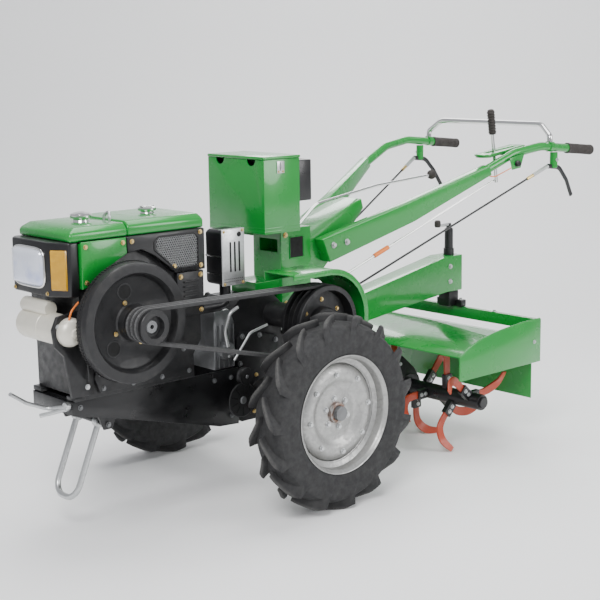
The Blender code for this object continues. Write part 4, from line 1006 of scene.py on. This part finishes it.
def makeGearbox():
    rounded("gearbox", castBlack, 0.005, 3)
    rounded("clutch_case", castGrey, 0.004, 3)
    plate("gearboxSideCover", [(-0.088, 0.285), (-0.060, 0.235), (0.060, 0.235), (0.092, 0.265), (0.092, 0.480),
          (0.070, 0.500), (-0.075, 0.470)], 0.0752, 0.086, castBlack, bevel=0.003)
    spots = onSide(0.0862, ((-0.078, 0.300), (-0.066, 0.455), (0.000, 0.480), (0.070, 0.485), (0.082, 0.400),
                            (0.082, 0.290)))
    bolts("gearboxBolts", spots, "+Y", 0.0075, castGrey)
    # ribs and bosses on the grey casting
    for k in range(4):
        box(f"caseRib{k}", (0.112 + 0.019 * k, 0.116 + 0.019 * k, 0.0902, 0.098, 0.402, 0.535), castGrey,
            bevel=0.0012)
    turned("caseBoss", [(0.0902, 0), (0.0902, 0.030), (0.108, 0.026), (0.110, 0.022), (0.110, 0)],
           (0.145, 0, 0.455), castGrey, closed=False, segments=40)
    bolts("caseBolts", circleSpots(0.145, 0.1085, 0.455, 0.017, 4), "+Y", 0.005, galvanised)
    tube("brakeLever",
         [(0.150, 0.112, 0.470), (0.165, 0.118, 0.520), (0.150, 0.124, 0.575), (0.120, 0.128, 0.590)], 0.005,
         galvanised, bend=0.03, sides=14)
    tube("shiftLink", [(0.120, 0.104, 0.420), (0.060, 0.112, 0.500), (-0.010, 0.112, 0.515)], 0.004, galvanised,
         bend=0.03, sides=12)
    turned("idlerPulley",
           [(0.118, 0.006), (0.118, 0.026), (0.124, 0.028), (0.129, 0.022), (0.134, 0.028), (0.140, 0.026),
           (0.140, 0.006)], (0.100, 0, 0.372), castBlack, segments=48)
    turned("idlerPin", [(0.096, 0), (0.096, 0.006), (0.142, 0.006), (0.144, 0.004), (0.144, 0)],
           (0.100, 0, 0.372), castGrey, closed=False, segments=20)
    turned("slottedDisc", [(0.1285, 0.012), (0.1285, 0.052), (0.1305, 0.054), (0.1345, 0.054), (0.1365, 0.052),
           (0.1365, 0.012)], (0.115, 0, 0.300), castBlack, segments=56)
    turned("slottedDiscPin", [(0.098, 0), (0.098, 0.012), (0.140, 0.012), (0.142, 0.010), (0.142, 0)],
           (0.115, 0, 0.300), castGrey, closed=False, segments=24)
    # painted shade: near-black sheets in the disc's slots stand for the shade inside them
    shape = bmesh.new()
    plateShape(shape, [(-0.002, -0.012), (0.002, -0.012), (0.002, 0.012), (-0.002, 0.012)], 0, 0.0005)
    spots = [((0.115 + 0.034 * math.sin(a), 0.1366, 0.300 + 0.034 * math.cos(a)), (0, a, 0), 1.0)
             for a in [2 * math.pi * k / 10 for k in range(10)]]
    repeat("discSlots", shape, spots, holeShade)


def makeToolbox():
    for node, finish, bevel, segments in (
            ("toolbox", green, 0.0012, 2), ("toolbox_lid", green, 0.004, 3), ("rear_pocket", black, 0.004, 3),
            ("handle_column", green, 0.003, 3), ("handle_base", green, 0.004, 3)):
        rounded(node, finish, bevel, segments)
    box("latchPlate", (-0.070, -0.040, 0.1352, 0.1375, 0.985, 1.022), galvanised, bevel=0.0008)
    tube("latchHook", [(-0.055, 0.1385, 0.992), (-0.055, 0.1415, 1.005), (-0.055, 0.1385, 1.020)], 0.0022,
         galvanised, bend=0.01, sides=12)
    bolts("latchBolts", [(-0.064, 0.1376, 0.990), (-0.046, 0.1376, 0.990)], "+Y", 0.003)
    for z in (0.806, 0.816):
        box(f"boxSwage{int(z * 1000)}", (-0.1354, 0.0124, -0.1354, 0.1354, z, z + 0.004), green, bevel=0.0015)
    # the column's side: channel mouth and bolts
    # painted shade: a near-black sheet in the channel mouth stands for the shade inside it
    box("columnMouth", (-0.205, -0.150, 0.0681, 0.0686, 0.705, 0.770), holeShade, bevel=0.0001, segments=1)
    outline = [(-0.207, 0.703), (-0.148, 0.703), (-0.148, 0.772), (-0.207, 0.772)]
    rodLoop("columnMouthEdge", outline, 0.0686, 0.0022, green)
    spots = onSide(0.0682, ((-0.130, 0.560), (-0.220, 0.560), (-0.130, 0.780), (-0.222, 0.640)))
    bolts("columnBolts", spots, "+Y", 0.0075)


# Handles and controls

gripAxis = (0.278, 0, 0.027)
grips = {"rings": 22, "radius": 0.0188}


def makeGrip(sideName, side):
    end = Vector((-1.400, side * 0.319, 0.9888))
    along = Vector(gripAxis).normalized()
    length, radius = 0.145, grips["radius"]
    profile = [(0.0, 0), (0.0, radius * 0.86), (0.002, radius * 0.97), (0.009, radius * 0.97),
               (0.011, radius * 0.86)]
    first, last = 0.014, length - 0.012
    step = (last - first) / grips["rings"]
    for k in range(grips["rings"]):
        at = first + step * k
        profile += [(at, radius * 0.89), (at + step * 0.25, radius * 0.94), (at + step * 0.7, radius * 0.94),
                    (at + step * 0.9, radius * 0.89)]
    profile += [(length - 0.010, radius), (length - 0.002, radius), (length, radius * 0.92), (length, 0.0155)]
    grip = turned(sideName + "GripSleeve", profile, end, rubber, root, segments=36, closed=False,
                  toward=along)
    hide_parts(sideName + "_grip")


def makeArm(sideName, side):
    stations = [(-0.275, 0.0835, 0.716, 0.042, 0.078), (-0.575, 0.185, 0.824, 0.040, 0.064),
                (-0.857, 0.288, 0.950, 0.034, 0.034)]
    shape = bmesh.new()
    rings = []
    for i, (x, y, z, width, height) in enumerate(stations):
        lean = 0.4 * height / 2
        inner = 0.0623 if i == 0 else y - width / 2
        rings.append([shape.verts.new(p) for p in (
            (x + lean, side * inner, z + height / 2), (x + lean, side * (y + width / 2), z + height / 2),
            (x - lean, side * (y + width / 2), z - height / 2), (x - lean, side * inner, z - height / 2))])
    skin(shape, rings)
    arm = place(sideName + "ArmBox", shape, green, root, bevel=0.004, segments=3)
    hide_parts(sideName + "_handle_arm")
    path = [(-0.835, side * 0.280, 0.9405), (-0.980, side * 0.305, 1.000), (-1.110, side * 0.319, 1.017),
            (-1.384, side * 0.319, 0.9904)]
    tube(sideName + "ArmTube", path, 0.015, green, root, 0.15, 28)
    facing = outward[side]
    spots = [(-0.300, side * 0.1135, 0.735), (-0.345, side * 0.1290, 0.742)]
    bolts(sideName + "ArmBolts", spots, facing, 0.009, galvanised)
    makeGrip(sideName, side)
    # steering lever in its holder, and its rod
    y = side * 0.319
    holder = turned(sideName + "SteeringHolder",
                    [(0.936, 0), (0.936, 0.011), (0.940, 0.014), (0.990, 0.014), (0.9925, 0.012),
                    (0.9925, 0)], (-1.184, y, 0), green, root, "Z", 32, False)
    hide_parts(sideName + "_steering_lever")
    lever = [(-1.150, y, 0.945), (-1.215, y, 0.938), (-1.262, side * 0.317, 0.890),
             (-1.300, side * 0.312, 0.831)]
    tube(sideName + "SteeringBlade", lever, 0.0085, black, bend=0.05, flat=0.55)
    start, end = Vector((-1.150, y, 0.945)), Vector((-0.1045, side * 0.073, 0.470))
    tube(sideName + "SteeringRod", [start, start.lerp(end, 0.5), end], 0.0036, black, sides=14)
    tube(sideName + "SteeringClevis", [start, start.lerp(end, 0.06)], 0.0075, galvanised, sides=6)
    tube(sideName + "SteeringAdjuster", [start.lerp(end, 0.055), start.lerp(end, 0.085)], 0.0058, zinc,
         sides=14)
    tube(sideName + "SteeringEnd", [start.lerp(end, 0.93), end], 0.0068, black, sides=16)
    bolts(sideName + "HolderBolts", [(-1.184, side * 0.3335, 0.966)], facing, 0.0058, galvanised)


levers = {"gripRings": 8, "ball": 0.017}


def makeControls():
    bar = [(-1.160, 0.319, 1.0284), (-1.160, 0.319, 1.050), (-1.195, 0.255, 1.087), (-1.236, -0.255, 1.087),
           (-1.236, -0.319, 1.045), (-1.236, -0.319, 1.0210)]
    guard = tube("guardBarTube", bar, 0.0098, chrome, bend=0.055, sides=28)
    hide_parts("guard_bar")
    for name, x, y, z in (("Left", -1.160, 0.319, 1.0135), ("Right", -1.236, -0.319, 1.0063)):
        turned("barClamp" + name, [(-0.011, 0.0152), (-0.011, 0.0185), (0.011, 0.0185), (0.011, 0.0152)],
               (x, y, z), green, toward=gripAxis, segments=32)
    rounded("lever_gate", green, 0.0015)
    loop = []
    for cx, cz, first in ((-0.886, 0.996, -90), (-1.062, 1.018, 90)):
        for i in range(13):
            a = math.radians(first + 15 * i)
            loop.append(Vector((cx + 0.026 * math.cos(a), 0.247 + 0.030 * math.sin(a), cz)))
    loop.append(loop[0])
    roll("gateRoll", loop, 0.0036, green)
    foot, top = Vector((-0.956, 0.247, 0.898)), Vector((-0.930, 0.247, 1.075))
    stem = tube("clutchLeverStem", [foot, foot.lerp(top, 0.5), top], 0.0058, chrome)
    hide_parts("clutch_lever")
    profile = [(0.0, 0), (0.0, 0.011), (0.002, 0.0125)]
    for k in range(levers["gripRings"]):
        at = 0.004 + 0.0095 * k
        profile += [(at, 0.0108), (at + 0.002, 0.0136), (at + 0.0065, 0.0136), (at + 0.0085, 0.0108)]
    profile += [(0.081, 0.012), (0.0845, 0.009), (0.086, 0.0045), (0.086, 0)]
    turned("clutchLeverGrip", profile, (-0.9325, 0.247, 1.065), rubber, segments=32, closed=False,
           toward=(0.0125, 0, 0.085))
    a, b = Vector((-0.952, 0.2378, 0.905)), Vector((-0.142, 0.110, 0.560))
    rod = tube("clutchRodBar", [a, a.lerp(b, 0.5), b], 0.0036, chrome, sides=14)
    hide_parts("clutch_rod")
    tube("clutchRodSleeve", [a.lerp(b, 0.56), a.lerp(b, 0.63)], 0.0075, orange, sides=16)
    tube("clutchRodEnd", [a.lerp(b, 0.90), b], 0.0068, galvanised, sides=6)
    # gear lever with its ball
    tube("gearLever",
         [(-0.220, 0.030, 0.7995), (-0.300, 0.030, 0.862), (-0.600, 0.016, 0.900), (-0.880, 0.004, 0.915)],
         0.0048, chrome, bend=0.06, sides=16)
    ball = levers["ball"]
    profile = [(-ball * math.cos(math.pi * k / 16), ball * math.sin(math.pi * k / 16)) for k in range(17)]
    turned("gearBall", profile, (-0.893, 0.003, 0.916), rubber, closed=False, segments=32)
    # switch bracket under the left tube
    plate("switchBracket", [(-0.930, 0.985), (-1.010, 0.999), (-0.990, 0.950), (-0.945, 0.945)], 0.3230, 0.3262,
          green)
    turned("switchKnob", [(0.3262, 0), (0.3262, 0.011), (0.334, 0.011), (0.338, 0.0085), (0.338, 0)],
           (-0.968, 0, 0.966), black, closed=False, segments=28)
    tube("switchWire",
         [(-0.968, 0.3225, 0.960), (-0.930, 0.315, 0.945), (-0.880, 0.302, 0.925), (-0.860, 0.296, 0.929)],
         0.0018, orange, bend=0.03, sides=10)


makeGearbox()
makeToolbox()
for sideName, side in sides:
    makeArm(sideName, side)
makeControls()
print("gearbox, toolbox and handles made")

# Tiller

rotorX, rotorZ = -0.737, 0.174878
tines = {"eachSide": 8, "reach": 0.1795, "boltSize": 0.0062}


def tineShape(side):
    reach = tines["reach"]
    keys = [(0.046, 0.000, 0.000, 0.0125, 0.0036), (0.105, 0.000, 0.000, 0.0138, 0.0038),
            (reach - 0.044, 0.008, 0.006, 0.0158, 0.0038), (reach - 0.020, 0.030, 0.022, 0.0148, 0.0036),
            (reach - 0.0125, 0.066, 0.044, 0.0095, 0.0026)]
    curve = []
    for i in range(len(keys) - 1):
        p0, p1, p2, p3 = (np.array(keys[min(max(j, 0), 4)]) for j in (i - 1, i, i + 1, i + 2))
        for s in range(6):
            t = s / 6
            curve.append(0.5 * (2 * p1 + (p2 - p0) * t + (2 * p0 - 5 * p1 + 4 * p2 - p3) * t * t
                                + (3 * p1 - p0 - 3 * p2 + p3) * t ** 3))
    curve.append(np.array(keys[-1]))
    shape = bmesh.new()
    rings = []
    for i, (radial, back, sideways, wide, thick) in enumerate(curve):
        here = Vector((back, side * sideways, radial))
        a, b = curve[max(i - 1, 0)], curve[min(i + 1, len(curve) - 1)]
        run = Vector((b[1] - a[1], side * (b[2] - a[2]), b[0] - a[0])).normalized()
        across = Vector((0, 1, 0)).cross(run).normalized()
        normal = run.cross(across).normalized()
        ring = []
        for u, v in ((1, 0.35), (0.9, 1), (-0.9, 1), (-1, 0.35), (-1, -0.35), (-0.9, -1), (0.9, -1),
                     (1, -0.35)):
            ring.append(shape.verts.new(here + across * wide * u + normal * thick * v))
        rings.append(ring)
    skin(shape, rings)
    return shape


def holderShape():
    shape = bmesh.new()
    for side in (-1, 1):
        boxShape(shape, -0.0165, 0.0165, side * 0.0045, side * 0.0090, 0.025, 0.0738)
    boxShape(shape, 0.0140, 0.0165, -0.0045, 0.0045, 0.025, 0.0738)
    boxShape(shape, -0.0165, -0.0140, -0.0045, 0.0045, 0.025, 0.0738)
    return shape


def tineTip():
    reach = tines["reach"]
    keys = [(reach - 0.020, 0.030, 0.022, 0.015, 0.004), (reach - 0.0125, 0.066, 0.044, 0.010, 0.003)]
    run = Vector((keys[1][1] - keys[0][1], keys[1][2] - keys[0][2], keys[1][0] - keys[0][0])).normalized()
    across = Vector((0, 1, 0)).cross(run).normalized()
    thick = run.cross(across).normalized()
    here = Vector((keys[1][1], keys[1][2], keys[1][0]))
    corners = [here + across * 0.010 * u + thick * 0.003 * v for u in (-1, 1) for v in (-1, 1)]
    far = max(corners, key=lambda c: math.hypot(c.x, c.z))
    return math.atan2(far.x, far.z)


def makeRotor():
    centre = Vector((rotorX, 0, rotorZ))
    half, first = 0.378, 0.048
    pitch = (half - first - 0.070) / (tines["eachSide"] - 1)
    step = 2 * math.pi / tines["eachSide"]
    tip = tineTip()
    profile = [(-0.386, 0), (-0.386, 0.018), (-0.384, 0.020), (0.384, 0.020), (0.386, 0.018), (0.386, 0)]
    shaft = turned("rotorShaftBar", profile, centre, black, "rotor", segments=40, closed=False)
    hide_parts("rotor_shaft")
    for sideName, side in sides:
        profile = [(side * first, 0.0206), (side * first, 0.0275), (side * (first + 0.006), 0.0275),
                   (side * (half - 0.004), 0.0275), (side * half, 0.0262), (side * half, 0.0206)]
        sleeve = turned(sideName + "RotorSleeve", profile, centre, black, "rotor", segments=48)
        spots, boltSpots = [], []
        for k in range(tines["eachSide"]):
            y = side * (first + 0.024 + pitch * k)
            phase = math.pi - tip + step * ((k * 3) % tines["eachSide"] + 0.5)
            spots.append((centre + Vector((0, y, 0)), (0, phase, 0), 1.0))
            turn = Matrix.Rotation(phase, 3, "Y")
            for radial in (0.040, 0.060):
                boltSpots.append((centre + Vector((0, y + side * 0.009, 0)) + turn @ Vector((0, 0, radial))))
        blades = repeat(sideName + "Tines", tineShape(side), spots, tinePaint, "rotor")
        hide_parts(sideName + "_rotor")
        repeat(sideName + "Holders", holderShape(), spots, black, "rotor")
        bolts(sideName + "TineBolts", boltSpots, outward[side], tines["boltSize"], galvanised, "rotor")


hood = {"edgeRoll": 0.0035}


def makeTiller():
    rounded("tiller_gear_case", castBlack, 0.005, 3)
    spots = onSide(0.0422, ((-0.130, 0.475), (-0.230, 0.475), (-0.330, 0.440), (-0.450, 0.365), (-0.580, 0.315),
                            (-0.690, 0.262), (-0.130, 0.365), (-0.280, 0.365), (-0.420, 0.305),
                            (-0.560, 0.245)))
    bolts("caseSeamBolts", spots, "+Y", 0.006, galvanised)
    turned("rotorBearing", [(0.0421, 0.023), (0.0421, 0.046), (0.0455, 0.044), (0.0455, 0.023)],
           (rotorX, 0, rotorZ), castBlack, segments=48)
    rounded("tiller_hood", green, 0.0012, 2)
    rounded("rear_flap", green, 0.001, 2)
    edge = [(-0.597, 0.278), (-0.597, 0.356), (-0.640, 0.382), (-0.700, 0.400), (-0.800, 0.416),
            (-0.920, 0.426), (-1.018, 0.427)]
    for name, side in (("Left", 1), ("Right", -1)):
        path = [Vector(p) for p in onSide(side * 0.3965, edge)]
        roll("hoodEdge" + name, path, hood["edgeRoll"], green, "green_paint")
        bolts("hoodBolts" + name, [(-0.986, side * 0.4002, 0.350)], outward[side], 0.006, galvanised)
    # boom, its end bracket and the depth column
    rounded("tiller_boom", green, 0.005, 3)
    box("boomBracket", (-1.0245, -1.0222, -0.036, 0.036, 0.492, 0.612), castBlack, bevel=0.0008)
    bolts("bracketBolts", [(-0.955, 0.0402, 0.580), (-0.955, 0.0402, 0.525)], "+Y", 0.008, galvanised)
    bolts("boomRootBolts", [(-0.350, 0.0402, 0.500), (-0.420, 0.0402, 0.480)], "+Y", 0.009, galvanised)
    profile = [(0.4268, 0), (0.4268, 0.020), (0.4868, 0.020), (0.4868, 0.0195), (0.640, 0.0195), (0.640, 0.016),
               (0.644, 0.016), (0.712, 0.0155), (0.716, 0.010), (0.732, 0.008), (0.732, 0)]
    column = turned("depthColumnBar", profile, (-0.992, 0, 0), black, root, "Z", 40, False)
    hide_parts("depth_column")
    tube("depthCrank", [(-0.996, 0, 0.727), (-0.960, 0, 0.727), (-0.925, 0, 0.727)], 0.0055, galvanised,
         sides=14)
    turned("depthKnob",
           [(0.722, 0), (0.722, 0.009), (0.728, 0.0115), (0.742, 0.0115), (0.747, 0.008), (0.748, 0)],
           (-0.930, 0, 0), rubber, root, "Z", 28, False)
    box("columnSleeve", (-1.0185, -0.9655, -0.0265, 0.0265, 0.4275, 0.4840), black, bevel=0.004, segments=3)
    box("barYokeLeft", (-1.0225, -0.995, 0.030, 0.060, 0.4268, 0.452), black, bevel=0.003)
    box("barYokeRight", (-1.0225, -0.995, -0.060, -0.030, 0.4268, 0.452), black, bevel=0.003)
    bolts("yokeBolts", [(-1.009, 0.045, 0.4521), (-1.009, -0.045, 0.4521)], "+Z", 0.007, galvanised)
    bolts("barNuts", [(-1.013, 0.200, 0.4266), (-1.013, -0.200, 0.4266)], "+Z", 0.007, galvanised)


makeRotor()
makeTiller()
print("tiller made")

# Anything still plain keeps its CAD shape with a matching finish

for name, node in frame["nodes"].items():
    if not node.hide_render:
        node.data.materials.clear()
        node.data.materials.append(finishes[slotOf[name]])

# Floor, light and camera

# a sheet that curves up behind the tractor, square to the camera
shape = bmesh.new()
rows = []
turn = Matrix.Rotation(math.radians(-47.75), 3, "Z")
bends = [math.pi / 2 * k / 10 for k in range(1, 11)]
sweep = [(-2.5 - 1.5 * math.sin(a), 1.5 - 1.5 * math.cos(a)) for a in bends]
for y, z in [(3.5, 0.0), (-2.5, 0.0)] + sweep + [(-4.0, 5.0)]:
    rows.append([shape.verts.new(turn @ Vector((x, y, z - 0.0005))) for x in (-7.0, 7.0)])
for near, far in zip(rows, rows[1:]):
    shape.faces.new((near[0], near[1], far[1], far[0]))
floor = linked("floor", meshOf("floor", shape))
floor.data.materials.append(floorPaint)
floor.data.shade_smooth()


def areaLight(name, spot, target, size, power):
    light = bpy.data.lights.new(name, "AREA")
    light.shape, light.size, light.energy = "DISK", size, power
    lightObject = linked(name, light)
    lightObject.location = spot
    lightObject.rotation_euler = (Vector(target) - Vector(spot)).to_track_quat("-Z", "Y").to_euler()


areaLight("keyLight", (3.2, 2.2, 3.6), (0, 0, 0.5), 2.2, 190)
areaLight("fillLight", (-1.8, 3.8, 2.2), (0, 0, 0.5), 2.6, 110)
areaLight("topLight", (-0.3, -0.4, 4.2), (0, 0, 0.4), 3.0, 120)
areaLight("backLight", (-3.0, -2.6, 2.4), (0, 0, 0.6), 2.0, 70)
world = bpy.data.worlds.new("softWorld")
world.use_nodes = True
world.node_tree.nodes["Background"].inputs["Color"].default_value = (0.93, 0.95, 1.0, 1)
world.node_tree.nodes["Background"].inputs["Strength"].default_value = 0.55
bpy.context.scene.world = world

azimuth, rise, roll = math.radians(137.75), math.radians(10.44), -0.0143
ahead = Vector((-math.sin(azimuth) * math.cos(rise), math.cos(azimuth) * math.cos(rise), -math.sin(rise)))
flatRight = ahead.cross(Vector((0, 0, 1))).normalized()
flatUp = flatRight.cross(ahead)
right = flatRight * math.cos(roll) + flatUp * math.sin(roll)
up = flatUp * math.cos(roll) - flatRight * math.sin(roll)
lens = bpy.data.cameras.new("camera")
lens.sensor_width, lens.lens, lens.shift_x = 36.0, 78.78, 0.0025
camera = linked("camera", lens)
turn = Matrix((right, up, -ahead)).transposed().to_4x4()
camera.matrix_world = Matrix.Translation((2.61815 + axleX, 3.15247, 1.3315)) @ turn
bpy.context.scene.camera = camera
print("floor, light and camera made")

bpy.context.view_layer.update()
